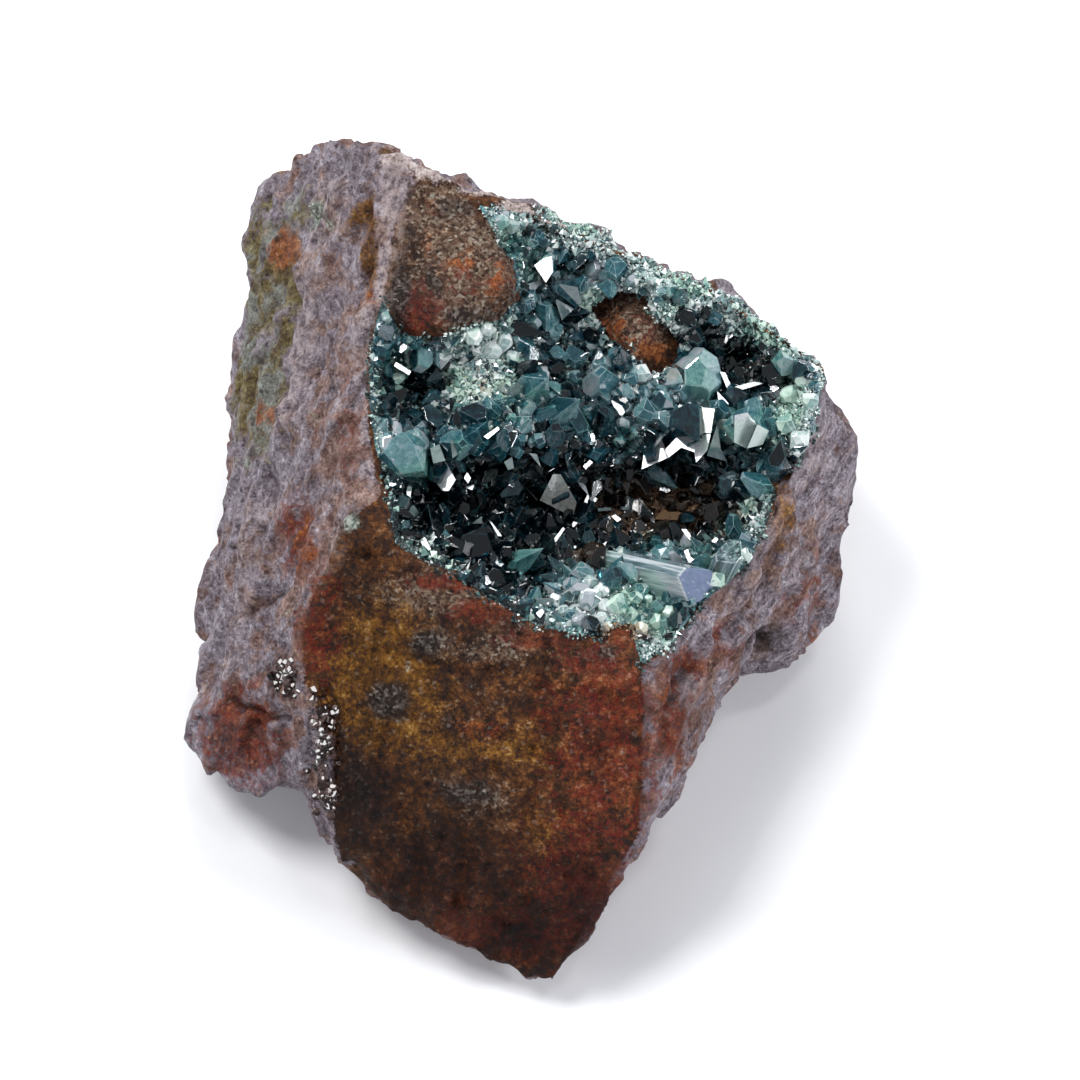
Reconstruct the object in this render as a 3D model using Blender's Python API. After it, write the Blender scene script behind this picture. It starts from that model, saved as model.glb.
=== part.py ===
"""Scorodite on its matrix: a broken lump of iron-oxide rock that lies on its broad back.

An open vug in its upper face is lined with one crust of scorodite crystals, grown together.
Shapes are drawn in the view that looks square on at the crystals, in millimetres:
u runs to the right, v up and w towards the eye. One turn about X then lays the rock down.
"""

import math
import random

import bmesh
import bpy
import numpy as np
from mathutils import Matrix, Vector, noise

MM = 0.001

# Driving dimensions, in millimetres and degrees
EYE_DISTANCE = 420.0  # the view that the corners are drawn in has this much perspective
FACE_LEAN = 30.0  # the drawn view leans back from straight up by this much once the rock lies down
REST_DEPTH = 17.0  # from the view's centre straight down to the surface that the rock lies on
FOOT_RUB = 0.5  # what is rubbed off the high spots of the side that it lies on
ROCK_VOXEL = 0.9
ROCK_FACES = 2700
FLOOR_CELL = 2.05  # spacing of the grid that draws the vug's floor
NODE_GAP = 0.3  # clear space between the rock and the crust
SEAM = 0.004  # corners nearer than this are one corner
SHEET_THICKNESS = 0.8  # solid crust under the crystals
VUG_DEPTH = 3.7
WALL_RUN = 2.2  # how far in from its rim the vug reaches its depth
RIM_RISE = 2.2  # slope of the cut outside the rim, where it leaves the rock
CRYSTAL_COUNT = 165
CRYSTAL_SEED = 11

# The face that the vug opens in is the plane w = FACE_MIDDLE + FACE_PER_U * u + FACE_PER_V * v
FACE_MIDDLE, FACE_PER_U, FACE_PER_V = 4.0, -0.20, -0.35

# Main block: corners of its broken faces, as seen (u, v) with their depth w
MAIN_CORNERS = (
    # the ridge between the left side and the vug's face, from the top down
    (-15.9, 30.4, -15.0),
    (-11.6, 29.3, -4.6),
    (-12.2, 19.5, -0.6),
    (-12.6, 10.0, 2.8),
    (-13.6, 2.2, 5.0),
    (-17.2, -4.4, 4.2),
    # the left side's far edge
    (-18.3, 27.6, -22.0),
    (-20.3, 23.4, -24.0),
    (-20.9, 16.0, -24.0),
    (-22.0, 9.0, -20.5),
    (-23.6, 1.6, -16.0),
    (-24.9, -5.5, -12.5),
    # the lower front face
    (-10.4, 1.1, 5.9),
    (7.2, -7.6, 5.6),
    (7.0, -19.6, 4.4),
    (0.9, -31.0, 0.8),
    (-5.2, -28.1, 0.4),
    (-11.1, -25.5, -1.4),
    (-14.7, -20.4, 0.2),
    (-15.6, -15.0, 2.0),
    (-17.0, -9.0, 3.2),
    # the right side, below the vug's rim and out to its far edge
    (15.2, -0.3, 0.8),
    (18.9, 7.2, -2.2),
    (20.6, 13.8, -4.8),
    (22.0, 9.6, -9.5),
    (23.1, 5.8, -12.0),
    (13.4, -9.8, -7.5),
    (10.2, -15.4, -4.5),
    (7.9, -19.4, -2.4),
    (4.4, -24.2, -1.0),
    # the top edge, front and back
    (-4.4, 26.5, -4.4),
    (1.3, 23.8, -4.4),
    (8.0, 21.4, -5.0),
    (12.9, 19.3, -5.8),
    (17.9, 15.9, -5.6),
    (-7.0, 26.2, -13.0),
    (0.0, 23.0, -12.0),
    (10.0, 18.2, -15.0),
    (18.2, 12.2, -16.0),
)
# The outline of the face that it lies on, as true (u, v): its depth follows from the resting plane
FOOT_OUTLINE = (
    (-9.0, -25.0),
    (-2.0, -28.0),
    (3.4, -22.0),
    (9.0, -12.0),
    (15.0, -3.0),
    (18.5, 7.0),
    (14.0, 16.6),
    (4.0, 21.2),
    (-9.0, 25.4),
    (-17.0, 22.0),
    (-20.5, 12.0),
    (-21.0, 1.0),
    (-20.0, -7.0),
    (-13.0, -17.0),
)
# The shoulder that juts out at the lower left, and the knob at the right edge
SHOULDER_CORNERS = (
    (-25.0, -4.0, -12.0),
    (-24.7, -10.0, -9.5),
    (-25.0, -14.2, -7.0),
    (-22.8, -16.2, -4.6),
    (-21.2, -17.3, -3.0),
    (-17.4, -15.6, -0.6),
    (-15.2, -14.6, 0.2),
    (-17.0, -5.0, 2.6),
    (-15.0, -16.4, -5.0),
    (-20.0, -14.6, -8.5),
    (-12.0, -8.0, -3.0),
)
KNOB_CORNERS = (
    (22.9, 4.4, -12.6),
    (22.5, 0.6, -12.8),
    (21.8, -1.8, -12.0),
    (20.8, -3.4, -11.0),
    (19.0, -5.6, -8.6),
    (18.7, -7.4, -10.0),
    (16.8, -8.3, -10.4),
    (14.4, -8.7, -8.4),
    (15.4, -6.2, -6.2),
    (17.2, -3.6, -6.4),
    (16.0, -6.0, -13.6),
    (12.0, -3.0, -8.0),
)

# The vug's rim, as (u, v), from its upper left corner down the left side and round
VUG_RIM = (
    (-11.2, 18.4),
    (-12.0, 15.0),
    (-12.1, 11.4),
    (-11.6, 7.9),
    (-10.6, 4.3),
    (-10.2, 1.2),
    (-7.1, -0.4),
    (-3.6, -2.6),
    (0.0, -4.7),
    (3.6, -5.3),
    (6.3, -4.4),
    (7.1, -7.3),
    (9.1, -6.1),
    (11.1, -3.3),
    (14.6, -0.4),
    (16.3, 2.9),
    (16.6, 5.7),
    (18.6, 7.0),
    (19.6, 9.3),
    (20.4, 13.4),
    (17.9, 15.3),
    (14.6, 17.0),
    (12.7, 18.2),
    (10.0, 19.6),
    (7.9, 20.8),
    (4.3, 22.0),
    (0.7, 23.4),
    (-1.4, 24.6),
    (-4.4, 25.4),
    (-3.4, 23.7),
    (-1.8, 21.3),
    (-1.4, 18.7),
    (-2.9, 17.1),
    (-5.0, 16.6),
    (-7.9, 15.6),
    (-9.9, 16.1),
)
# Bare rock that stands up through the crust
ISLAND_RIM = (
    (4.0, 18.0),
    (5.6, 19.1),
    (7.5, 18.7),
    (8.5, 17.2),
    (9.9, 15.2),
    (9.4, 14.2),
    (8.1, 13.5),
    (6.9, 14.7),
    (5.1, 16.1),
)

# What shapes the vug's floor: (u, v, reach along u, reach along v, how far down)
PITS = (
    (1.4, 3.9, 14.0, 2.6, 5.2),
    (-8.2, 12.1, 2.2, 2.2, 3.6),
    (3.3, 15.0, 1.6, 2.6, 3.6),
    (13.9, 15.2, 2.4, 2.0, 3.4),
    (-0.6, -1.2, 1.8, 1.6, 2.2),
)
# And what rises from it: (u, v, reach along u, reach along v, how far up)
MOUNDS = (
    (6.8, 16.6, 3.6, 2.9, 3.4),
    (-4.4, 12.4, 2.8, 3.2, 2.4),
    (4.8, -2.6, 4.2, 2.2, 2.2),
    (17.6, 10.4, 2.2, 4.0, 2.2),
    (-0.5, 8.8, 10.0, 2.0, 1.6),
)
# Rounded swellings on the rock itself, in the same terms
SWELLINGS = (
    (-5.2, 20.4, 4.2, 3.4, 1.3),
    (-9.0, 17.4, 2.2, 2.4, 0.8),
    (-2.0, -14.0, 12.0, 9.0, 0.8),
)

# Large crystals that can be told apart: (u, v, half width, length over width, lean to u, lean to v, turn)
LARGE_CRYSTALS = (
    (0.3, 21.2, 1.1, 1.5, 0.1, -0.3, 20),
    (1.6, 19.0, 1.7, 1.2, -0.4, 0.1, 65),
    (0.9, 4.7, 1.9, 1.2, 0.1, 0.2, 40),
    (-7.2, 6.6, 1.3, 1.5, -0.1, -0.3, 10),
    (-9.6, 7.4, 1.7, 1.1, -0.4, 0.1, 50),
    (-5.9, 8.2, 1.4, 1.2, 0.3, 0.2, 80),
    (11.2, 13.1, 2.3, 1.0, 0.1, 0.1, 30),
    (10.6, 9.4, 2.4, 1.3, 0.2, -0.5, 15),
    (8.2, 7.9, 1.5, 1.3, -0.3, -0.4, 55),
    (14.9, 9.3, 1.6, 1.1, 0.3, -0.1, 75),
    (9.0, -1.3, 2.1, 2.0, 1.9, -0.5, 25),
    (3.4, -2.8, 1.4, 1.1, -0.2, 0.1, 35),
    (5.6, -3.2, 1.2, 1.1, 0.2, 0.0, 60),
    (-5.0, 0.9, 1.5, 1.1, -0.2, 0.3, 45),
    (4.2, 12.6, 1.6, 1.2, 0.1, 0.4, 5),
    (-0.4, 12.2, 1.5, 1.2, 0.4, 0.1, 70),
    (4.6, 9.8, 1.5, 1.2, -0.1, 0.3, 30),
    (1.6, 10.4, 1.5, 1.3, 0.5, 0.2, 85),
    (-0.8, 1.6, 1.3, 1.3, 0.1, -0.4, 50),
    (13.0, -0.6, 1.5, 1.9, 0.9, 1.4, 20),
)


def remove_everything():
    """Empties the scene that the script is run in."""
    for obj in list(bpy.data.objects):
        bpy.data.objects.remove(obj, do_unlink=True)


def as_seen(corner):
    """The true place of a corner that is seen at (u, v) when it lies w in front of the view's plane."""
    u, v, w = corner
    nearness = 1 - w / EYE_DISTANCE
    return Vector((u * nearness, v * nearness, w))


def resting_depth(v):
    """The w of the surface that the rock lies on, at height v."""
    lean = math.radians(FACE_LEAN)
    return -(REST_DEPTH + v * math.sin(lean)) / math.cos(lean)


def face_height(u, v):
    """The w of the broken face that the vug opens in."""
    return FACE_MIDDLE + FACE_PER_U * u + FACE_PER_V * v


def inside_distance(u, v, outline):
    """How far each point lies inside a closed outline, and negative outside it."""
    nearest = np.full(u.shape, np.inf)
    inside = np.zeros(u.shape, bool)
    for (au, av), (bu, bv) in zip(outline, outline[1:] + outline[:1]):
        run_u, run_v = bu - au, bv - av
        share = ((u - au) * run_u + (v - av) * run_v) / (run_u**2 + run_v**2)
        share = np.clip(share, 0, 1)
        nearest = np.minimum(nearest, np.hypot(u - au - share * run_u, v - av - share * run_v))
        spans = (av > v) != (bv > v)
        crossing = au + (v - av) * run_u / (run_v if run_v else 1.0)
        inside ^= spans & (u < crossing)
    return np.where(inside, nearest, -nearest)


def bumps(u, v, table):
    """The sum of smooth round hills, each (u, v, reach along u, reach along v, height)."""
    total = np.zeros(np.shape(u))
    for at_u, at_v, reach_u, reach_v, height in table:
        total = total + height * np.exp(-(((u - at_u) / reach_u) ** 2) - ((v - at_v) / reach_v) ** 2)
    return total


def floor_height(u, v):
    """The w of the vug's floor, which climbs out of the rock beyond the rim."""
    within = inside_distance(u, v, VUG_RIM)
    share = np.clip(within / WALL_RUN, 0, 1)
    wall = share * (2 - share)
    depth = wall * np.maximum(0.8, VUG_DEPTH + bumps(u, v, PITS) - bumps(u, v, MOUNDS))
    return face_height(u, v) - np.where(within > 0, depth, within * RIM_RISE)


def new_object(name, mesh):
    """Links a mesh into the scene under its name."""
    obj = bpy.data.objects.new(name, mesh)
    bpy.context.scene.collection.objects.link(obj)
    return obj


def as_helper(obj):
    """Keeps a cutter out of the finished object."""
    obj.hide_render = True
    obj.display_type = "WIRE"
    return obj


def laid_down():
    """The turn that takes the drawn view, in millimetres, to the lying rock, in metres."""
    turn = Matrix.Rotation(math.radians(FACE_LEAN), 4, "X")
    return Matrix.Translation((0, 0, REST_DEPTH * MM)) @ turn @ Matrix.Scale(MM, 4)


def evaluated_mesh(obj):
    """The object's mesh with its modifiers applied, as a new mesh."""
    bpy.context.view_layer.update()
    graph = bpy.context.evaluated_depsgraph_get()
    return bpy.data.meshes.new_from_object(obj.evaluated_get(graph))


def add_hull(bm, corners):
    """Adds the block that wraps round some corners."""
    verts = [bm.verts.new(corner) for corner in corners]
    made = bmesh.ops.convex_hull(bm, input=verts)
    loose = [g for g in made["geom_interior"] + made["geom_unused"] if isinstance(g, bmesh.types.BMVert)]
    bmesh.ops.delete(bm, geom=list(set(loose)), context="VERTS")


def foot_corners():
    """The corners of the face that the rock lies on."""
    return [Vector((u, v, resting_depth(v) - FOOT_RUB)) for u, v in FOOT_OUTLINE]


def rock_relief(place):
    """How far the broken surface stands out from its flat faces: broad hollows, and a grain that runs one way."""
    broad = noise.fractal(place / 8.0, 1.0, 2.1, 3)
    along = Vector((0.5, 0.82, 0.2)).normalized()
    run = place.dot(along)
    across = place - along * run
    grain = noise.fractal((across + along * run * 0.18) / 2.3, 1.0, 2.0, 2)
    return 0.75 * broad + 0.38 * grain


def roughen(mesh):
    """Moves the rock's points out and in by its relief, and raises its rounded swellings."""
    mesh.calc_loop_triangles()
    places = [vert.co.copy() for vert in mesh.vertices]
    normals = [normal.vector.copy() for normal in mesh.vertex_normals]
    for vert, place, normal in zip(mesh.vertices, places, normals):
        moved = place + normal * rock_relief(place)
        if normal.z > 0.35:
            moved.z += float(bumps(place.x, place.y, SWELLINGS))
        vert.co = moved


def seat_flat(mesh):
    """Lays the rock down and rubs its underside flat where it would reach below the surface it lies on."""
    mesh.transform(laid_down())
    for vert in mesh.vertices:
        vert.co.z = max(vert.co.z, 0.0)


def build_rock():
    """The solid rock, with no vug yet, laid down."""
    bm = bmesh.new()
    add_hull(bm, [as_seen(corner) for corner in MAIN_CORNERS] + foot_corners())
    add_hull(bm, [as_seen(corner) for corner in SHOULDER_CORNERS])
    add_hull(bm, [as_seen(corner) for corner in KNOB_CORNERS])
    mesh = bpy.data.meshes.new("matrix")
    bm.to_mesh(mesh)
    bm.free()
    blocks = new_object("matrix", mesh)
    fuse = blocks.modifiers.new("fuse", "REMESH")
    fuse.mode = "VOXEL"
    fuse.voxel_size = ROCK_VOXEL
    blocks.data = evaluated_mesh(blocks)
    blocks.modifiers.clear()
    roughen(blocks.data)
    thin = blocks.modifiers.new("thin", "DECIMATE")
    thin.ratio = min(1.0, ROCK_FACES / (2 * len(blocks.data.polygons)))
    blocks.data = evaluated_mesh(blocks)
    blocks.modifiers.clear()
    seat_flat(blocks.data)
    return blocks


def floor_grid():
    """The (u, v) of the grid over the vug, and of its rows and columns."""
    rim = np.array(VUG_RIM)
    low, high = rim.min(0) - 2.5, rim.max(0) + 2.5
    columns = np.arange(low[0], high[0] + FLOOR_CELL, FLOOR_CELL)
    rows = np.arange(low[1], high[1] + FLOOR_CELL, FLOOR_CELL)
    return np.meshgrid(columns, rows, indexing="ij")


def crust_bottom(u, v):
    """The underside of the crust: the floor, raised square to its slope by the gap."""
    step = 0.2
    slope_u = (floor_height(u + step, v) - floor_height(u - step, v)) / (2 * step)
    slope_v = (floor_height(u, v + step) - floor_height(u, v - step)) / (2 * step)
    return floor_height(u, v) + NODE_GAP * np.sqrt(1 + slope_u**2 + slope_v**2)


def crust_top(u, v):
    """The top of the solid crust under the crystals, which thins to nothing at the rim and round the island."""
    from_rim = inside_distance(u, v, VUG_RIM) - 0.2
    from_island = -inside_distance(u, v, ISLAND_RIM) - 0.2
    return crust_bottom(u, v) + np.minimum(SHEET_THICKNESS, 1.4 * np.minimum(from_rim, from_island))


def column_solid(name, u, v, surface, end):
    """A closed solid between a surface over the grid and a flat end, laid down."""
    bm = bmesh.new()
    across, along = u.shape
    top = [[bm.verts.new((u[i, j], v[i, j], surface[i, j])) for j in range(along)] for i in range(across)]
    base = [[bm.verts.new((u[i, j], v[i, j], end)) for j in range(along)] for i in range(across)]
    for i in range(across - 1):
        for j in range(along - 1):
            for rows in (top, base):
                bm.faces.new((rows[i][j], rows[i + 1][j], rows[i + 1][j + 1]))
                bm.faces.new((rows[i][j], rows[i + 1][j + 1], rows[i][j + 1]))
    ring = [(i, 0) for i in range(across)] + [(across - 1, j) for j in range(1, along)]
    ring += [(i, along - 1) for i in range(across - 2, -1, -1)] + [(0, j) for j in range(along - 2, 0, -1)]
    for (ai, aj), (bi, bj) in zip(ring, ring[1:] + ring[:1]):
        bm.faces.new((top[ai][aj], base[ai][aj], base[bi][bj], top[bi][bj]))
    bmesh.ops.triangulate(bm, faces=bm.faces)
    bmesh.ops.recalc_face_normals(bm, faces=bm.faces)
    mesh = bpy.data.meshes.new(name)
    bm.to_mesh(mesh)
    bm.free()
    mesh.transform(laid_down())
    return as_helper(new_object(name, mesh))


def crystal_corners(width, length, blunt):
    """The corners of one crystal: a double pyramid, or one with its edges and tips cut off where it is blunt."""
    across, deep, tall = width, width * 0.86, width * length
    if not blunt:
        tips = ((across, 0, 0), (0, deep, 0), (0, 0, tall))
        return [side * Vector(tip) for tip in tips for side in (-1, 1)]
    corners = []
    for side in (-1, 1):
        corners += [(side * across, deep * blunt * s, 0.0) for s in (-1, 1)]
        corners += [(across * blunt * s, side * deep, 0.0) for s in (-1, 1)]
        tip = tall * (1 - 0.45 * blunt)
        corners += [(across * 0.45 * blunt * s, 0.0, side * tip) for s in (-1, 1)]
    return [Vector(corner) for corner in corners]


def crystal(name, seat, axis, turn, width, length, blunt):
    """One crystal, set on its seat with its long axis along a direction."""
    spin = Matrix.Rotation(math.radians(turn), 4, "Z")
    stand = axis.to_track_quat("Z", "Y").to_matrix().to_4x4()
    place = laid_down() @ Matrix.Translation(seat) @ stand @ spin
    bm = bmesh.new()
    add_hull(bm, [place @ corner for corner in crystal_corners(width, length, blunt)])
    bmesh.ops.recalc_face_normals(bm, faces=bm.faces)
    mesh = bpy.data.meshes.new(name)
    bm.to_mesh(mesh)
    bm.free()
    return as_helper(new_object(name, mesh))


def floor_normal(u, v):
    """The way that the crust faces at a point."""
    step = 0.5
    slope_u = float(crust_bottom(u + step, v) - crust_bottom(u - step, v)) / (2 * step)
    slope_v = float(crust_bottom(u, v + step) - crust_bottom(u, v - step)) / (2 * step)
    return Vector((-slope_u, -slope_v, 1.0)).normalized()


def on_crust(u, v, clear=0.5):
    """Whether a point lies on the crust, clear of its edges."""
    at = np.array(u), np.array(v)
    return inside_distance(*at, VUG_RIM) > clear and inside_distance(*at, ISLAND_RIM) < -clear


def large_crystals():
    """The crystals that can be told apart."""
    made = []
    for number, (u, v, width, length, lean_u, lean_v, turn) in enumerate(LARGE_CRYSTALS):
        at = np.array(u), np.array(v)
        axis = (Vector((lean_u, lean_v, 1.0)) + floor_normal(*at) * 0.4).normalized()
        seat = Vector((u, v, float(crust_top(*at)) + 0.25 * width))
        made.append(crystal(f"large_{number}", seat, axis, turn, width, length, 0.22))
    return made


def small_crystals():
    """The rest, scattered over the crust so that none sits on another's seat."""
    draw = random.Random(CRYSTAL_SEED)
    rim = np.array(VUG_RIM)
    seats = [(u, v, width * 0.9) for u, v, width, *_ in LARGE_CRYSTALS]
    made = []
    while len(made) < CRYSTAL_COUNT:
        u, v = draw.uniform(rim[:, 0].min(), rim[:, 0].max()), draw.uniform(rim[:, 1].min(), rim[:, 1].max())
        width = 0.88 + 0.95 * draw.random() ** 2.2
        lean = Vector((draw.gauss(0, 0.45), draw.gauss(0, 0.45), 0.0))
        turn, length = draw.uniform(0, 90), draw.uniform(1.1, 1.5)
        if not on_crust(u, v):
            continue
        if any(math.hypot(u - su, v - sv) < 0.60 * (reach + width) for su, sv, reach in seats):
            continue
        seats.append((u, v, width))
        at = np.array(u), np.array(v)
        seat = Vector((u, v, float(crust_top(*at)) + 0.1 * width))
        axis = (floor_normal(*at) + lean).normalized()
        made.append(crystal(f"small_{len(made)}", seat, axis, turn, width, length, 0))
    return made


def boolean(obj, name, operation, other):
    """Adds an exact Boolean with one helper, or with a collection of them."""
    cut = obj.modifiers.new(name, "BOOLEAN")
    cut.operation = operation
    cut.solver = "EXACT"
    if isinstance(other, bpy.types.Collection):
        cut.operand_type = "COLLECTION"
        cut.collection = other
    else:
        cut.object = other
    return cut


def largest_body(mesh):
    """Joins corners that a cut has left side by side, and drops crumbs that are apart from the main body."""
    bm = bmesh.new()
    bm.from_mesh(mesh)
    bmesh.ops.remove_doubles(bm, verts=bm.verts, dist=SEAM * MM)
    bmesh.ops.dissolve_degenerate(bm, edges=bm.edges, dist=SEAM * MM)
    left, bodies = set(bm.verts), []
    while left:
        body, edge_of_body = set(), [left.pop()]
        while edge_of_body:
            vert = edge_of_body.pop()
            body.add(vert)
            near = {edge.other_vert(vert) for edge in vert.link_edges} & left
            left -= near
            edge_of_body += near
        bodies.append(body)
    main = max(bodies, key=len)
    bmesh.ops.delete(bm, geom=[vert for vert in bm.verts if vert not in main], context="VERTS")
    bm.to_mesh(mesh)
    bm.free()


def build_crust(u, v):
    """The crust: a sheet over the vug's floor with every crystal fused to it, cut clear of the rock."""
    inner_u, inner_v = u[1:-1, 1:-1], v[1:-1, 1:-1]
    crust = column_solid("scorodite_crust", inner_u, inner_v, crust_top(inner_u, inner_v), -30.0)
    crystals = bpy.data.collections.new("crystals")
    bpy.context.scene.collection.children.link(crystals)
    for obj in large_crystals() + small_crystals():
        bpy.context.scene.collection.objects.unlink(obj)
        crystals.objects.link(obj)
    boolean(crust, "grow", "UNION", crystals)
    boolean(crust, "clear_of_rock", "INTERSECT", column_solid("vug_space", u, v, crust_bottom(u, v), 30.0))
    crust.data = evaluated_mesh(crust)
    crust.modifiers.clear()
    largest_body(crust.data)
    crust.hide_render = False
    crust.display_type = "TEXTURED"
    return crust


def give_material(obj, name, colour, roughness, metallic=0.0):
    """Gives an object its one material."""
    material = bpy.data.materials.new(name)
    material.use_nodes = True
    shader = material.node_tree.nodes["Principled BSDF"]
    shader.inputs["Base Color"].default_value = (*colour, 1.0)
    shader.inputs["Roughness"].default_value = roughness
    shader.inputs["Metallic"].default_value = metallic
    obj.data.materials.clear()
    obj.data.materials.append(material)


def centre_over_origin(rock, crust):
    """Puts the origin on the surface that the rock lies on, under the middle of the whole specimen."""
    points = np.array([v.co for obj in (rock, crust) for v in evaluated_mesh(obj).vertices])
    middle = (points.min(0) + points.max(0)) / 2
    shift = Matrix.Translation((-middle[0], -middle[1], 0.0))
    for mesh in {obj.data for obj in bpy.data.objects if obj.type == "MESH"}:
        mesh.transform(shift)
    return shift


def main():
    remove_everything()
    u, v = floor_grid()
    rock = build_rock()
    boolean(rock, "vug", "DIFFERENCE", column_solid("vug_cutter", u, v, floor_height(u, v), 32.0))
    rock.data = evaluated_mesh(rock)
    rock.modifiers.clear()
    largest_body(rock.data)
    crust = build_crust(u, v)
    give_material(rock, "matrix", (0.16, 0.10, 0.08), 0.85)
    give_material(crust, "scorodite", (0.10, 0.27, 0.29), 0.15)
    return centre_over_origin(rock, crust)


SHIFT = main()
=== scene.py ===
import itertools
import math
import random
from collections import namedtuple

import bmesh
import bpy
import numpy as np
from mathutils import Matrix, Vector
from mathutils.bvhtree import BVHTree


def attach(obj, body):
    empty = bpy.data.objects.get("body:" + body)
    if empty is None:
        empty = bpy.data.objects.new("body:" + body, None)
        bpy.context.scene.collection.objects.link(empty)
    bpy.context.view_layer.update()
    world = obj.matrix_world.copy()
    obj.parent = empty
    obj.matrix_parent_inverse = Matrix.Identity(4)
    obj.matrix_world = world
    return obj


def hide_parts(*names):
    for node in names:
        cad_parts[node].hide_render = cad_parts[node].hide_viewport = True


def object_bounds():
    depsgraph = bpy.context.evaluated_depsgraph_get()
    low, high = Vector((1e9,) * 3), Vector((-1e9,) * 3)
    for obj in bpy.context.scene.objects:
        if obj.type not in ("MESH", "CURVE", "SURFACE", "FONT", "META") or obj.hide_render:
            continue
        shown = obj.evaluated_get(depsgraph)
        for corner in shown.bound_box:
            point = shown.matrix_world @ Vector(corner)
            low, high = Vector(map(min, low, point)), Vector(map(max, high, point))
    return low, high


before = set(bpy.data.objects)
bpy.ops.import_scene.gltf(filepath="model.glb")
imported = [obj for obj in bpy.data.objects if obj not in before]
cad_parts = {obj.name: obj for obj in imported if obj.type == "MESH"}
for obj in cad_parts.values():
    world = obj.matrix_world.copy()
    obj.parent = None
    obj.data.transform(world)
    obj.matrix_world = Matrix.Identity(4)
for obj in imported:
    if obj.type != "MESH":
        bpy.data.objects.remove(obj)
cad_box = [list(corner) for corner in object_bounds()]

MM = 0.001

# The drawn view: u to the right, v up, w towards the eye, in millimetres, as the rock's corners are drawn
EYE_DISTANCE = 420.0
FACE_LEAN = 30.0
REST_DEPTH = 17.0
VIEW_OVER = (1.134, -6.394)
VIEW_WIDTH = 76.6
VIEW_RISE = 1.42

# The vug, as the crust's solid has it
NODE_GAP = 0.3
SHEET_THICKNESS = 0.8
VUG_DEPTH = 3.7
LEAST_DEPTH = 0.8
WALL_RUN = 2.2
RIM_RISE = 2.2
FACE_MIDDLE, FACE_PER_U, FACE_PER_V = 4.0, -0.20, -0.35
VUG_MIDDLE = (2.0, 8.0, 0.0)
VUG_RIM = (
    (-11.2, 18.4), (-12.0, 15.0), (-12.1, 11.4), (-11.6, 7.9), (-10.6, 4.3), (-10.2, 1.2),
    (-7.1, -0.4), (-3.6, -2.6), (0.0, -4.7), (3.6, -5.3), (6.3, -4.4), (7.1, -7.3), (9.1, -6.1),
    (11.1, -3.3), (14.6, -0.4), (16.3, 2.9), (16.6, 5.7), (18.6, 7.0), (19.6, 9.3), (20.4, 13.4),
    (17.9, 15.3), (14.6, 17.0), (12.7, 18.2), (10.0, 19.6), (7.9, 20.8), (4.3, 22.0), (0.7, 23.4),
    (-1.4, 24.6), (-4.4, 25.4), (-3.4, 23.7), (-1.8, 21.3), (-1.4, 18.7), (-2.9, 17.1),
    (-5.0, 16.6), (-7.9, 15.6), (-9.9, 16.1),
)
ISLAND_RIM = (
    (4.0, 18.0), (5.6, 19.1), (7.5, 18.7), (8.5, 17.2), (9.9, 15.2), (9.4, 14.2), (8.1, 13.5),
    (6.9, 14.7), (5.1, 16.1),
)
# Pits and mounds of the vug's floor: (u, v, reach along u, reach along v, depth or height)
PITS = (
    (1.4, 3.9, 14.0, 2.6, 5.2), (-8.2, 12.1, 2.2, 2.2, 3.6), (3.3, 15.0, 1.6, 2.6, 3.6),
    (13.9, 15.2, 2.4, 2.0, 3.4), (-0.6, -1.2, 1.8, 1.6, 2.2),
)
MOUNDS = (
    (6.8, 16.6, 3.6, 2.9, 3.4), (-4.4, 12.4, 2.8, 3.2, 2.4), (4.8, -2.6, 4.2, 2.2, 2.2),
    (17.6, 10.4, 2.2, 4.0, 2.2), (-0.5, 8.8, 10.0, 2.0, 1.6),
)

# The ridges between the rock's faces, as (u, v) from the top down
LEFT_RIDGE = (
    (-9.9, 30.0), (-10.5, 22.7), (-11.3, 18.4), (-12.1, 15.2), (-12.2, 11.3), (-11.9, 7.8),
    (-11.0, 4.9), (-14.0, 2.3), (-15.8, -2.1), (-16.9, -5.5), (-16.7, -8.2), (-14.7, -12.6),
    (-14.6, -18.5), (-13.0, -31.0),
)
RIGHT_RIDGE = (
    (20.8, 14.5), (19.6, 9.3), (18.6, 7.2), (16.8, 5.7), (16.3, 2.9), (14.6, -0.4), (11.1, -3.3),
    (9.1, -6.1), (7.3, -7.4), (7.1, -19.1), (4.3, -23.4), (0.6, -31.0),
)

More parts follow.
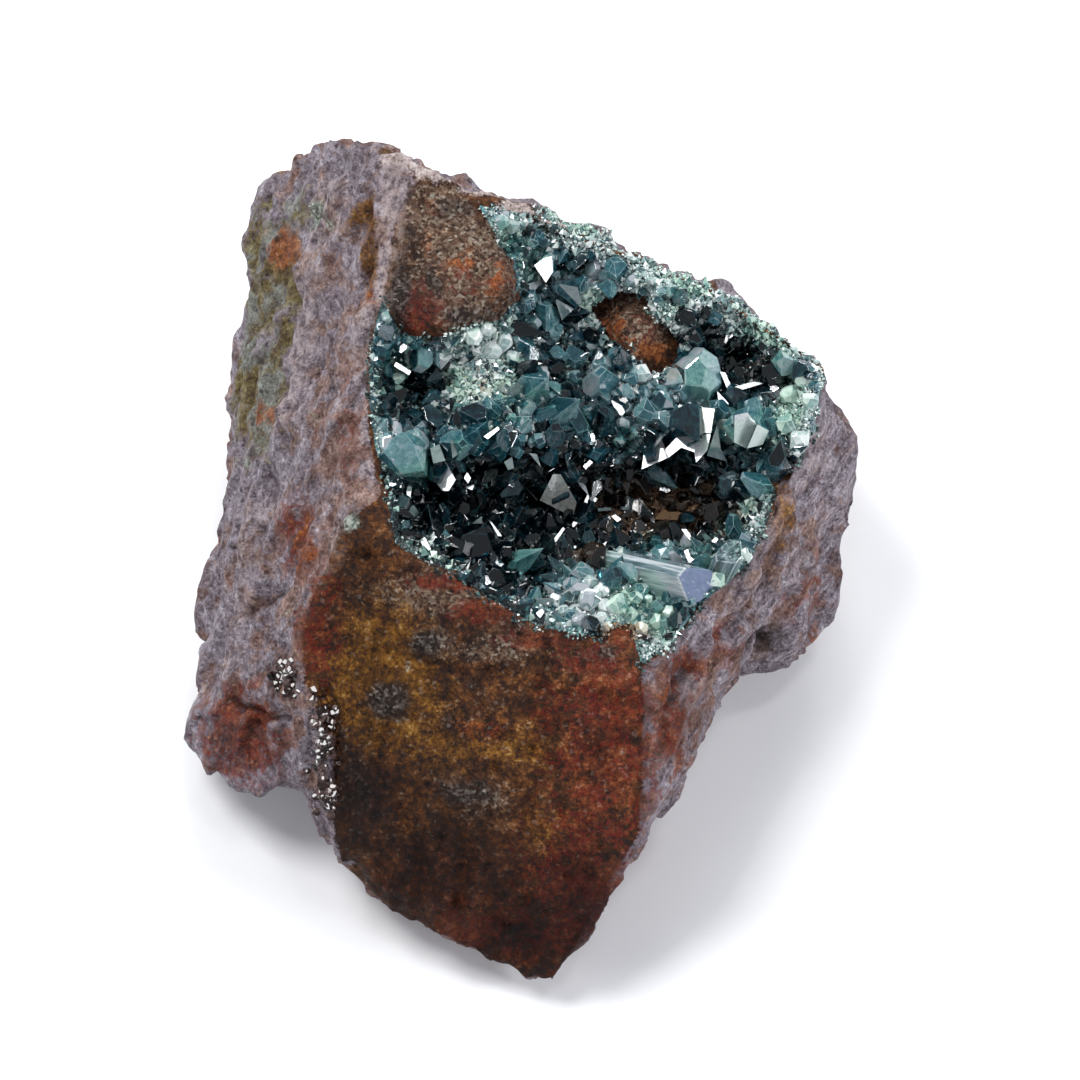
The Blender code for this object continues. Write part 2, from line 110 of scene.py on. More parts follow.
# Patches of colour on the rock: (u, v, reach along u, reach along v, strength)
OCHRE = (
    (-10.8, -8.6, 4.0, 5.4, 1.0), (-7.0, -12.6, 5.0, 2.6, 0.7), (-2.0, -13.4, 4.6, 2.0, 0.62),
    (0.2, -18.6, 2.0, 3.0, 0.48), (-12.8, 24.6, 0.8, 1.3, 1.0), (-12.3, 21.4, 0.7, 2.4, 1.0),
    (17.6, 2.6, 1.0, 4.6, 0.6), (-4.0, 27.0, 3.0, 1.6, 0.5),
)
RED = (
    (-15.6, -4.5, 1.4, 4.0, 0.75), (4.5, -13.0, 3.6, 8.0, 0.85), (3.0, -23.0, 4.0, 6.0, 0.8),
    (-4.0, -26.5, 6.0, 2.6, 0.6), (-21.5, -12.5, 3.2, 3.4, 0.9), (-17.6, 1.6, 1.2, 2.6, 0.75),
    (-6.8, -1.6, 2.0, 0.6, 0.95), (-3.4, -3.6, 2.4, 0.7, 1.0), (0.4, -5.6, 2.6, 0.7, 1.0),
    (4.2, -7.2, 2.6, 0.7, 1.0), (-3.6, -12.2, 1.0, 0.6, 0.8), (1.0, -11.0, 1.4, 0.8, 0.8),
    (13.2, -6.0, 1.4, 2.0, 0.55), (10.6, -7.0, 1.4, 1.6, 0.7), (18.6, -2.6, 1.0, 2.6, 0.42),
    (20.0, -1.4, 1.0, 2.6, 0.50), (9.5, -11.5, 1.6, 4.0, 0.7), (-4.4, 20.0, 2.4, 1.6, 0.5),
    (-8.4, 17.6, 1.4, 1.8, 0.9), (6.6, 16.4, 2.2, 2.0, 0.4), (-13.5, 9.0, 1.2, 5.0, 0.35),
)
DARK = (
    (-10.6, -10.0, 1.7, 1.4, 1.0), (-8.0, -5.8, 1.4, 1.0, 0.9), (-4.6, -8.6, 0.8, 0.6, 0.7),
    (-6.4, -11.4, 1.0, 0.8, 0.7), (-5.6, -16.4, 2.6, 1.4, 0.7), (4.6, -6.6, 1.6, 1.0, 0.6),
    (-9.2, 24.4, 2.0, 2.4, 0.35), (-2.4, 21.6, 1.0, 2.6, 0.6), (-7.6, 20.2, 1.0, 2.6, 0.6),
    (-5.0, 17.4, 3.0, 0.8, 0.7), (-10.0, 19.0, 1.0, 2.6, 0.8), (-5.8, 25.2, 2.6, 1.0, 0.6),
    (-13.0, -16.5, 2.5, 4.0, 0.6), (16.4, -6.2, 2.6, 1.8, 0.6), (-1.0, -4.8, 7.0, 1.4, 0.45),
)
OLIVE = (
    (-20.2, 20.6, 2.2, 5.4, 0.95),
    (-20.9, 12.6, 2.0, 4.8, 0.95),
    (-18.0, 25.5, 2.0, 2.0, 0.5),
)
RUST = (
    (-3.4, 18.9, 1.2, 0.9, 0.7), (-5.2, 21.2, 1.4, 1.0, 0.7), (-8.0, 22.6, 0.9, 1.4, 0.7),
    (5.0, 17.0, 1.5, 1.2, 0.95), (8.2, 14.9, 1.3, 0.9, 0.9), (-7.8, 25.0, 0.7, 0.6, 0.6),
    (-18.9, 22.8, 1.3, 1.6, 1.0), (-20.0, 10.4, 1.2, 1.2, 0.8), (-17.0, 1.2, 0.9, 2.0, 0.8),
    (-20.6, 10.6, 0.8, 0.9, 0.7), (-4.6, -11.8, 2.4, 1.0, 0.7), (1.5, -8.8, 3.4, 0.9, 0.45),
    (-3.0, 19.8, 1.4, 2.0, 0.6), (-12.2, 19.0, 0.6, 1.2, 0.7), (-13.4, 12.2, 0.8, 0.9, 0.5),
    (9.0, -9.6, 1.0, 1.4, 0.5),
)
CRUSTY = (
    (-20.4, 22.0, 2.4, 5.0, 1.0),
    (-21.4, 13.0, 1.8, 5.0, 1.0),
    (-19.0, 26.5, 2.4, 2.4, 0.7),
)
KNOB = (
    (-5.0, 20.6, 4.6, 4.4, 1.0), (-7.4, 25.0, 2.4, 2.4, 0.9), (6.6, 16.6, 2.6, 2.2, 1.0),
    (-7.8, -2.4, 4.0, 1.6, 0.75), (-2.0, -6.0, 4.4, 1.4, 0.65), (4.0, -7.2, 3.4, 1.6, 0.6),
    (-7.8, -5.8, 1.8, 1.2, 0.9), (-10.6, -10.0, 2.0, 1.4, 0.7), (-4.0, -17.0, 3.0, 2.0, 0.5),
)
WARM = (
    (-13.6, 8.0, 3.0, 9.0, 0.9), (-15.6, -2.0, 3.0, 6.0, 0.9), (-18.5, -10.0, 4.0, 3.0, 0.9),
    (-11.6, 20.0, 1.4, 5.0, 0.7), (-16.0, 17.0, 1.6, 8.0, 0.35), (17.2, 2.0, 1.1, 4.6, 0.75),
    (12.4, -4.6, 1.8, 2.2, 0.6), (20.0, -0.8, 1.5, 3.2, 0.9), (16.0, -2.0, 4.0, 4.0, 0.25),
    (10.0, -11.0, 3.0, 6.0, 0.85),
)
# Holes in the rock: (u, v, reach along u, reach along v, depth)
HOLES = (
    (-13.0, 24.5, 0.35, 0.9, 0.9), (-12.2, 22.6, 0.3, 0.6, 0.7), (-12.5, 20.6, 0.3, 0.7, 0.7),
    (-12.2, 18.6, 0.3, 0.6, 0.5), (-8.4, 25.6, 0.4, 0.4, 0.6), (-7.4, 24.8, 0.35, 0.35, 0.5),
    (-8.8, 21.6, 0.4, 0.8, 0.5), (17.4, 5.6, 0.4, 0.8, 0.8), (16.8, 3.5, 0.4, 0.7, 0.8),
    (16.0, 0.3, 0.4, 0.6, 0.7), (15.2, -2.3, 0.4, 0.6, 0.7), (16.3, -6.1, 0.9, 0.7, 1.2),
    (-12.2, 0.3, 0.7, 0.6, 0.7), (-10.4, -3.0, 0.5, 0.4, 0.4), (-19.6, 16.4, 0.5, 0.8, 0.9),
    (-18.8, 10.2, 0.4, 0.8, 0.7),
)
# Cracks in the rock: two ends and a depth
CRACKS = (
    (-21.6, -4.0, -19.0, -2.0, 0.7), (-22.4, -10.0, -18.4, -11.2, 0.7),
    (-20.4, -11.4, -19.6, -15.0, 0.5), (-17.6, 20.0, -18.6, 8.0, 0.5),
    (-15.2, 24.0, -16.6, 12.0, 0.45), (-14.2, 9.0, -16.0, -1.0, 0.4),
    (-19.4, 6.0, -20.6, -1.0, 0.45), (19.4, 1.0, 13.6, -5.0, 0.5), (14.6, -3.0, 8.6, -10.4, 0.5),
    (20.6, 7.6, 18.4, 0.6, 0.5), (-12.0, -6.4, 5.0, -9.6, 0.25),
)
# Ridges and grooves along the rock's sides: two ends, a reach and a height
RIDGES = (
    (-15.0, 27.0, -16.2, 20.5, 0.9, 0.8), (-16.2, 20.5, -18.0, 10.0, 0.8, 0.7),
    (-17.2, 25.5, -18.8, 13.0, 0.9, -0.6), (-13.8, 21.0, -14.8, 8.0, 0.6, 0.35),
    (-14.8, 12.0, -16.6, 3.0, 0.6, -0.3), (-12.8, 6.0, -17.4, -6.0, 0.7, 0.4),
    (-20.0, 4.0, -22.4, -8.0, 0.8, 0.4), (-18.0, 0.0, -19.6, -8.0, 0.7, -0.35),
    (20.6, 9.0, 13.0, -4.0, 0.6, 0.45), (19.8, 4.0, 12.0, -7.0, 0.5, -0.4),
    (19.0, 0.5, 10.4, -9.6, 0.6, 0.45), (21.6, 4.0, 18.0, -5.0, 0.6, 0.4),
    (20.9, 7.0, 17.0, -1.0, 0.38, 0.34), (20.2, 6.0, 14.0, -5.0, 0.36, -0.36),
    (18.4, 3.5, 11.0, -7.5, 0.36, 0.36), (17.6, 2.0, 9.0, -9.4, 0.34, -0.36),
    (22.0, 2.0, 16.0, -9.0, 0.40, -0.34), (12.0, -6.0, 8.2, -14.0, 0.36, 0.32),
    (13.4, -7.0, 9.0, -15.0, 0.36, -0.32),
)
# More patches: brown painted shade, the painted light of the strip along the top, green crust and the wet
# film
PAINTED_SHADE = (
    (-7.0, -23.0, 7.0, 4.5, 1.0), (-2.0, -27.5, 5.0, 4.0, 1.0), (2.5, -25.0, 3.4, 5.0, 1.0),
    (-13.0, -17.0, 3.0, 3.5, 0.8), (-8.4, 17.8, 1.8, 2.2, 0.5), (10.6, -10.6, 2.4, 4.4, 0.5),
)
LIT_STRIP = (
    (-9.6, 28.8, 2.0, 0.7, 1.0), (-7.0, 27.9, 2.0, 0.8, 1.0), (-4.0, 26.7, 1.8, 0.7, 1.0),
    (-1.6, 25.4, 1.6, 0.7, 1.0), (1.0, 24.2, 1.6, 0.6, 0.9),
)
GREEN = (
    (-16.4, 24.9, 1.1, 1.1, 1.0),
    (-13.4, 2.8, 0.9, 0.7, 0.9),
    (-18.6, 15.0, 0.7, 0.8, 0.6),
)
WET = (
    (-15.2, -12.6, 0.8, 2.8, 1.3),
    (-18.2, -8.4, 0.9, 1.3, 0.8),
    (-15.2, -16.4, 0.7, 1.6, 0.7),
)

# Crystals that can be told apart: (u, v, half width, length over width, lean to u, lean to v, turn)
LARGE_CRYSTALS = (
    (0.3, 21.2, 1.1, 1.5, 0.1, -0.3, 20), (1.6, 19.0, 1.7, 1.2, -0.4, 0.1, 65),
    (0.9, 4.7, 1.9, 1.2, 0.1, 0.2, 40), (-7.2, 6.6, 1.3, 1.5, -0.1, -0.3, 10),
    (-9.6, 7.4, 1.7, 1.1, -0.4, 0.1, 50), (-5.9, 8.2, 1.4, 1.2, 0.3, 0.2, 80),
    (11.2, 12.9, 2.05, 1.0, 0.1, 0.1, 30), (10.6, 9.6, 1.8, 1.4, 0.2, -0.5, 15),
    (8.2, 7.9, 1.5, 1.3, -0.3, -0.4, 55), (14.9, 9.3, 1.6, 1.1, 0.3, -0.1, 75),
    (9.0, -1.3, 2.1, 2.0, 3.0, -0.9, 52), (3.4, -2.8, 0.9, 1.2, -0.2, 0.1, 35),
    (5.6, -3.2, 0.8, 1.2, 0.2, 0.0, 60), (-5.0, 0.9, 1.5, 1.1, -0.2, 0.3, 45),
    (4.2, 12.6, 1.6, 1.2, 0.1, 0.4, 5), (-0.4, 12.2, 1.5, 1.2, 0.4, 0.1, 70),
    (4.6, 9.8, 1.5, 1.2, -0.1, 0.3, 30), (1.6, 10.4, 1.5, 1.3, 0.5, 0.2, 85),
    (-0.8, 1.6, 1.3, 1.3, 0.1, -0.4, 50), (13.0, -0.6, 1.5, 1.9, 0.9, 1.4, 20),
)

# Faces that catch the light: corners read off the picture as (across, down), lift over the crust,
# the light that each mirrors, and a tone; where a face mirrors a light, its tone paints a highlight over
# the real one
PICTURE_SCALE = 14.1
PICTURE_MIDDLE = (540, 560)
FACES = (
    (((534, 263), (545, 255), (552, 254), (553, 270), (546, 281)), 2.2, "key", 0.75),
    (((527, 282), (538, 279), (540, 282), (532, 292)), 1.0, "", 0.7),
    (((560, 282), (578, 285), (582, 300), (562, 318), (556, 300)), 2.0, "", 0.45),
    (((690, 405), (716, 408), (712, 432), (700, 432)), 1.7, "key", 0.9),
    (((700, 432), (712, 432), (708, 450), (697, 462), (695, 452)), 1.9, "key", 0.9),
    (((677, 437), (697, 442), (695, 452), (682, 447), (668, 458), (664, 451)), 2.1, "key", 0.9),
    (((645, 446), (664, 448), (667, 458), (642, 469)), 2.2, "key", 0.9),
    (((718, 424), (722, 448), (729, 461), (708, 455)), 1.6, "", 0.55),
    (((722, 370), (727, 371), (737, 392), (733, 397)), 2.0, "side", 0.8),
    (((719, 390), (727, 398), (731, 403), (720, 400)), 1.6, "side", 0.8),
    (((735, 415), (748, 412), (758, 424), (748, 448), (735, 442)), 2.8, "", 0.84),
    (((758, 424), (770, 430), (764, 444), (748, 448)), 2.7, "", 0.92),
    (((435, 465), (446, 462), (456, 480), (449, 491), (443, 491), (434, 480)), 2.7, "key", 0.85),
    (((431, 449), (440, 445), (446, 461), (434, 464)), 2.7, "", 0.62),
    (((451, 440), (467, 448), (453, 459)), 2.4, "", 0.52),
    (((440, 442), (449, 441), (448, 452)), 1.5, "top", 0.6),
    (((553, 474), (561, 474), (577, 502), (573, 517), (540, 500)), 2.6, "", 0.56),
    (((405, 499), (408, 487), (413, 483), (411, 498)), 1.2, "top", 0.8),
    (((467, 472), (471, 478), (468, 483), (464, 478)), 1.4, "side", 0.8),
    (((465, 487), (474, 484), (472, 490)), 1.2, "side", 0.8),
    (((421, 540), (426, 537), (432, 549), (427, 552)), 1.0, "key", 0.85),
    (((444, 539), (456, 533), (463, 536), (451, 541)), 1.2, "top", 0.6),
    (((472, 523), (482, 516), (481, 527)), 1.2, "", 0.62),
    (((405, 513), (414, 505), (420, 513), (412, 520)), 1.1, "", 0.6),
    (((504, 462), (512, 457), (514, 468), (508, 470)), 1.4, "", 0.56),
    (((529, 453), (537, 454), (541, 467)), 1.4, "", 0.6),
    (((455, 551), (470, 542), (486, 551), (481, 562), (462, 565)), 1.0, "", 0.60),
    (((584, 502), (589, 492), (598, 498), (595, 503)), 1.6, "top", 0.6),
    (((655, 519), (662, 511), (681, 512), (679, 520)), 1.6, "", 0.50),
    (((684, 551), (688, 549), (692, 561), (689, 564)), 1.4, "key", 0.9),
    (((682, 529), (687, 529), (696, 542), (691, 541)), 1.4, "side", 0.8),
    (((489, 520), (493, 524), (502, 536), (498, 536)), 1.6, "top", 0.7),
    (((500, 540), (506, 541), (515, 538), (508, 545)), 1.4, "", 0.7),
    (((553, 540), (563, 527), (565, 529), (556, 542)), 1.8, "top", 0.7),
    (((484, 437), (498, 427), (500, 430), (488, 440)), 1.8, "key", 0.8),
    (((396, 362), (411, 371), (409, 375), (394, 366)), 1.6, "side", 0.8),
    (((612, 516), (616, 514), (622, 519), (618, 522)), 1.2, "key", 0.9),
    (((712, 541), (716, 537), (719, 539), (716, 543)), 1.2, "key", 0.9),
    (((583, 466), (590, 460), (593, 462), (586, 469)), 1.8, "side", 0.8),
    (((598, 508), (612, 507), (612, 510), (599, 511)), 1.2, "", 0.6),
    (((737, 385), (755, 380), (768, 381), (745, 388)), 1.6, "top", 0.62),
    (((535, 598), (552, 597), (560, 603), (545, 606)), 0.8, "", 0.62),
    (((536, 612), (542, 608), (548, 616), (542, 622)), 0.8, "side", 0.8),
)
# Pale rounded crystals, read off the picture the same way: (across, down, half width), and a tone
LUMPS = (
    (588, 600, 12, 0.80), (616, 606, 11, 0.76), (572, 596, 9, 0.66), (575, 610, 8, 0.74),
    (601, 590, 8, 0.70), (604, 606, 8, 0.84), (630, 616, 8, 0.72), (634, 598, 8, 0.66),
    (590, 582, 7, 0.60), (647, 600, 7, 0.60), (556, 600, 7, 0.60), (640, 628, 7, 0.78),
    (600, 618, 8, 0.7), (563, 612, 8, 0.62), (790, 395, 11, 0.66), (806, 378, 10, 0.72),
    (788, 425, 11, 0.66), (800, 440, 10, 0.74), (812, 400, 9, 0.66), (641, 372, 10, 0.72),
    (474, 336, 9, 0.86), (492, 350, 10, 0.84), (505, 340, 8, 0.84), (486, 328, 7, 0.80),
    (512, 356, 7, 0.74), (395, 376, 9, 0.55), (620, 560, 11, 0.50), (655, 622, 8, 0.74),
    (668, 612, 7, 0.86), (730, 566, 10, 0.74), (745, 556, 8, 0.78), (716, 580, 9, 0.66),
)
# The soft lights: the way to each in the view's axes, distance and side in millimetres, radiance, colour
LIGHTS = {
    "key": ((-0.45, 0.62, 0.60), 520, 215, 14.0, (1, 1, 1)),
    "side": ((0.86, 0.16, 0.48), 560, 150, 19.0, (0.95, 0.96, 1.0)),
    "right": ((0.93, -0.30, 0.22), 560, 160, 19.0, (0.98, 0.97, 1.0)),
    "back": ((0.10, 0.98, 0.05), 560, 260, 9.0, (1, 1, 1)),
    "left": ((-0.88, -0.12, 0.42), 560, 130, 14.0, (0.98, 0.97, 1.0)),
    "low": ((-0.15, -0.45, 0.85), 600, 70, 12.0, (0.97, 0.96, 1.0)),
    "top": ((0.30, 0.55, 0.80), 560, 90, 13.0, (1, 1, 1)),
}
SKY_COLOUR = (0.86, 0.93, 1.0, 1.0)
SKY_STRENGTH = 0.30
FLOOR_REACH = 3.0
NEAREST_SEEN = 0.01

# Whole numbers that shuffle the cells of the noise, and how much finer each of its waves is than the last
CELL_PRIMES = (73856093, 19349663, 83492791)
SEED_PRIME = 40503
MIX_PRIME = 1274126177
FINER = 2.1
# Layers of roughness: the length of a wave in millimetres, how many waves, and a seed
ROUGHNESS = {
    "streaks": (1.6, 4, 11),
    "lumps": (5.2, 3, 21),
    "ledge bend": (7.0, 3, 31),
    "step bend": (5.0, 3, 35),
    "grit": (0.7, 2, 41),
    "bed": (1.7, 3, 71),
    "bend along u": (1.8, 3, 91),
    "bend along v": (1.8, 3, 95),
    "back": (8.0, 3, 101),
    "warm": (9.0, 3, 111),
    "rust": (5.0, 3, 121),
    "ochre": (6.0, 3, 127),
    "dark": (4.0, 3, 137),
}


def seen(x, y):
    """A place read off the picture as (u, v) in millimetres."""
    return (x - PICTURE_MIDDLE[0]) / PICTURE_SCALE, (PICTURE_MIDDLE[1] - y) / PICTURE_SCALE


def view_to_world():
    """The turn that takes the drawn view, in millimetres, to the part's frame, in metres."""
    turn = Matrix.Rotation(math.radians(FACE_LEAN), 4, "X")
    move = Matrix.Translation((VIEW_OVER[0] * MM, VIEW_OVER[1] * MM, REST_DEPTH * MM))
    return move @ turn @ Matrix.Scale(MM, 4)


LAID_DOWN = view_to_world()
TO_WORLD = np.array(LAID_DOWN)
TO_VIEW = np.array(LAID_DOWN.inverted())


def placed(points, matrix):
    """Points turned and moved by a four-by-four matrix."""
    return points @ matrix[:3, :3].T + matrix[:3, 3]


def lattice(cell, seed):
    """A repeatable number from -1 to 1 for each cell of a grid in space."""
    first, second, third = (cell[..., axis] * prime for axis, prime in enumerate(CELL_PRIMES))
    mixed = first ^ second ^ third ^ seed * SEED_PRIME
    mixed = (mixed ^ (mixed >> 13)) * MIX_PRIME & 0xFFFFFFFF
    mixed = mixed ^ (mixed >> 16)
    return (mixed & 0xFFFF) / 32767.5 - 1.0


def noise(points, seed):
    """Smooth noise from -1 to 1, one wave to a unit."""
    cell = np.floor(points).astype(np.int64)
    part = points - cell
    ease = part * part * (3 - 2 * part)
    total = np.zeros(len(points))
    for corner in np.ndindex(2, 2, 2):
        share = np.prod(np.where(corner, ease, 1 - ease), axis=1)
        total += share * lattice(cell + corner, seed)
    return total


def fractal(points, octaves, seed):
    """Noise with finer and finer noise on it."""
    total = np.zeros(len(points))
    for octave in range(octaves):
        total += noise(points * FINER**octave, seed + octave) / 2**octave
    return total


def cells(points, seed):
    """How far each point is from the nearest of some seeds strewn one to a unit cube."""
    home = np.floor(points).astype(np.int64)
    nearest = np.full(len(points), 9.0)
    for step in np.ndindex(3, 3, 3):
        cell = home + step - 1
        seat = cell + 0.5 + 0.45 * np.stack([lattice(cell, seed + axis) for axis in range(3)], axis=1)
        nearest = np.minimum(nearest, np.linalg.norm(points - seat, axis=1))
    return nearest


def rough(layer, points):
    """One of the layers of roughness at each point."""
    wave, octaves, seed = ROUGHNESS[layer]
    return fractal(points / wave, octaves, seed)


def line_distance(u, v, au, av, bu, bv):
    """How far each point is from a straight stretch between two places."""
    run_u, run_v = bu - au, bv - av
    share = np.clip(((u - au) * run_u + (v - av) * run_v) / (run_u**2 + run_v**2), 0, 1)
    return np.hypot(u - au - share * run_u, v - av - share * run_v)


def inside_distance(u, v, outline):
    """How far each point lies inside a closed outline, and negative outside it."""
    nearest = np.full(np.shape(u), np.inf)
    inside = np.zeros(np.shape(u), bool)
    for (au, av), (bu, bv) in zip(outline, outline[1:] + outline[:1]):
        nearest = np.minimum(nearest, line_distance(u, v, au, av, bu, bv))
        crossing = au + (v - av) * (bu - au) / (bv - av or 1.0)
        inside ^= ((av > v) != (bv > v)) & (u < crossing)
    return np.where(inside, nearest, -nearest)


def bumps(u, v, table):
    """The sum of smooth round hills, each (u, v, reach along u, reach along v, height)."""
    total = np.zeros(np.shape(u))
    for at_u, at_v, reach_u, reach_v, height in table:
        total = total + height * np.exp(-(((u - at_u) / reach_u) ** 2) - ((v - at_v) / reach_v) ** 2)
    return total


def patches(u, v, table):
    """The strongest of some soft patches at each point, from 0 to 1."""
    strongest = np.zeros(np.shape(u))
    for at_u, at_v, reach_u, reach_v, strength in table:
        away = ((u - at_u) / reach_u) ** 2 + ((v - at_v) / reach_v) ** 2
        strongest = np.maximum(strongest, strength * np.exp(-0.7 * away))
    return strongest


def near_cracks(u, v):
    """How deep the cracks are at each point, with soft sides."""
    deepest = np.zeros(np.shape(u))
    for *ends, depth in CRACKS:
        away = line_distance(u, v, *ends) / CRACK_REACH
        deepest = np.maximum(deepest, depth * np.exp(-(away**2)))
    return deepest


def near_ridges(u, v):
    """How far the ridges stand out at each point, and the grooves lie back."""
    total = np.zeros(np.shape(u))
    for *ends, reach, height in RIDGES:
        total += height * np.exp(-((line_distance(u, v, *ends) / reach) ** 2))
    return total


def face_height(u, v):
    """The height of the broken face that the vug opens in."""
    return FACE_MIDDLE + FACE_PER_U * u + FACE_PER_V * v


def floor_height(u, v):
    """The depth of the vug's floor in the rock."""
    within = inside_distance(u, v, VUG_RIM)
    share = np.clip(within / WALL_RUN, 0, 1)
    wall = share * (2 - share)
    depth = wall * np.maximum(LEAST_DEPTH, VUG_DEPTH + bumps(u, v, PITS) - bumps(u, v, MOUNDS))
    return face_height(u, v) - np.where(within > 0, depth, within * RIM_RISE)


def edge_distance(u, v):
    """How far a point on the crust is from the nearest of its edges."""
    return np.minimum(inside_distance(u, v, VUG_RIM), -inside_distance(u, v, ISLAND_RIM))


def in_scene(name, data):
    """A new object in the scene."""
    obj = bpy.data.objects.new(name, data)
    bpy.context.scene.collection.objects.link(obj)
    return obj


def new_piece(name, verts, faces):
    """A mesh object from points in the part's frame."""
    mesh = bpy.data.meshes.new(name)
    mesh.from_pydata(verts.tolist(), [], faces)
    return in_scene(name, mesh)


def modify(obj, kind, **settings):
    """Gives an object a modifier with its settings."""
    made = obj.modifiers.new(kind.lower(), kind)
    for name, value in settings.items():
        setattr(made, name, value)


def apply_modifiers(obj):
    """Makes the object's modifiers part of its mesh."""
    bpy.context.view_layer.update()
    graph = bpy.context.evaluated_depsgraph_get()
    obj.data = bpy.data.meshes.new_from_object(obj.evaluated_get(graph))
    obj.modifiers.clear()


def over(u, v):
    """Where the eye's ray through (u, v) starts."""
    return LAID_DOWN @ Vector((u, v, RAY_HEIGHT))


def ray_caster(obj):
    """A function that finds where the eye's ray through (u, v) meets an object, or None."""
    tree = BVHTree.FromObject(obj, bpy.context.evaluated_depsgraph_get())
    down = (LAID_DOWN.to_3x3() @ Vector((0, 0, -1))).normalized()
    return lambda u, v: tree.ray_cast(over(u, v), down, RAY_REACH)[0]


def mesh_points(mesh):
    """The mesh's points and normals as arrays."""
    points = np.empty(len(mesh.vertices) * 3)
    mesh.vertices.foreach_get("co", points)
    normals = np.empty(len(mesh.vertices) * 3)
    mesh.vertex_normals.foreach_get("vector", normals)
    return points.reshape(-1, 3), normals.reshape(-1, 3)


def set_attribute(mesh, name, values):
    """Stores a number for each point of a mesh, for its material to read."""
    layer = mesh.attributes.new(name, "FLOAT", "POINT")
    layer.data.foreach_set("value", np.asarray(values, np.float32))


# The rock
ROCK_VOXEL = 0.34
CRACK_REACH = 0.32
BACK_RELIEF = 0.6
SMOOTHING = 4
SETTLING = 2
# How much the left ridge softens at the top, where that begins and is full, and where its painted crest
# highlight does
TOP_SOFTNESS = 2.4
TOP_RISE = (23.5, 27.0)
CREST_RISE = (9.0, 17.0)
# How the streaks run in the view's axes, and how the ledges and steps do, with the millimetres to each
GRAIN_RUN = np.array((0.30, 0.93, 0.20)) / np.linalg.norm((0.30, 0.93, 0.20))
GRAIN_STRETCH = 0.16
LEDGE_WAY, LEDGE_RUN, LEDGE_BEND, LEDGE_POWER = (0.62, -0.16, 0.5), 2.6, 0.8, 1.8
STEP_WAY, STEP_RUN, STEP_BEND, STEP_POWER = (-0.25, 0.80, 0.35), 3.4, 0.9, 2.5
# Pits strewn over the rock: size, seed, where a pit ends and is full, and the same for the broad noise
# that picks where they are, with its wave
HOLE_PITS = (2.3, 51, (0.34, 0.12), 5.0, (0.0, 0.4))
SMALL_PITS = (0.95, 61, (0.36, 0.10), 3.0, (-0.2, 0.3))
# How far each roughness stands out in millimetres: on the mauve sides, on the front, and on both
SIDE_STREAKS, SIDE_LEDGES, SIDE_STEPS, SIDE_BACK = 0.40, 0.60, 0.16, 0.25
FRONT_STREAKS, FRONT_LEDGES, FRONT_CRUMBS = 0.14, 0.20, 0.26
STEPS, LUMPINESS, GRITTINESS, CRUSTINESS = 0.14, 0.28, 0.06, 0.95
HOLE_DEPTH, SMALL_DEPTH, SIDE_FILL, SET_BACK = 0.5, 0.22, 0.75, 0.25
ROCK_PATCHES = {
    "ochre": OCHRE,
    "red": RED,
    "dark": DARK,
    "olive": OLIVE,
    "lit_strip": LIT_STRIP,
    "shade": PAINTED_SHADE,
    "warm": WARM,
    "rust": RUST,
    "green": GREEN,
    "wet": WET,
    "knob": KNOB,
}
# Stains on the unseen sides: strength, and where in its noise each begins and is full
STAINS = {
    "warm": (1.0, -0.1, 0.6),
    "rust": (0.9, 0.35, 0.9),
    "ochre": (0.9, 0.45, 0.9),
    "dark": (0.5, 0.6, 1.0),
}


def left_of(points, line):
    """How far each point lies to the left of a line that runs down the view."""
    heights = np.array([v for _, v in line])[::-1]
    across = np.array([u for u, _ in line])[::-1]
    return np.interp(points[:, 1], heights, across) - points[:, 0]


def soft_step(values, low, high):
    """0 below low, 1 above high and a smooth rise between."""
    share = np.clip((values - low) / (high - low), 0, 1)
    return share * share * (3 - 2 * share)


def sawtooth(values, power):
    """Rises from 0 to 1 in each whole unit, slowly at first, and drops back."""
    return (values - np.floor(values)) ** power


def pits(place, size, seed, edge, wave, picked):
    """Round pits of a size, in the parts of the rock that a broad noise picks."""
    return soft_step(cells(place / size, seed), *edge) * soft_step(noise(place / wave, seed + 4), *picked)


def rock_relief(place, mauve, crusty):
    """How far the broken surface stands out at each point, in millimetres."""
    front = 1 - mauve
    run = place @ GRAIN_RUN
    across = place - run[:, None] * GRAIN_RUN
    streaks = rough("streaks", across + GRAIN_STRETCH * run[:, None] * GRAIN_RUN)
    ledges = place @ np.array(LEDGE_WAY) / LEDGE_RUN + LEDGE_BEND * rough("ledge bend", place)
    ledges = sawtooth(ledges, LEDGE_POWER)
    steps = place @ np.array(STEP_WAY) / STEP_RUN + STEP_BEND * rough("step bend", place)
    steps = sawtooth(steps, STEP_POWER)
    crumbs = 0.62 - cells(place / 1.7, 81) + 0.4 * (0.6 - cells(place / 0.75, 85))
    relief = mauve * (SIDE_STREAKS * streaks + SIDE_LEDGES * ledges)
    relief = relief + front * (FRONT_STREAKS * streaks + FRONT_LEDGES * ledges)
    pitted = HOLE_DEPTH * pits(place, *HOLE_PITS) + SMALL_DEPTH * pits(place, *SMALL_PITS)
    lumps = LUMPINESS * rough("lumps", place)
    grit = GRITTINESS * rough("grit", place)
    relief += (STEPS + SIDE_STEPS * mauve) * steps + lumps + grit - (1 - SIDE_FILL * mauve) * pitted
    relief += FRONT_CRUMBS * front * (0.6 - cells(place / 0.9, 97)) - SET_BACK - SIDE_BACK * mauve
    return relief + crusty * CRUSTINESS * crumbs


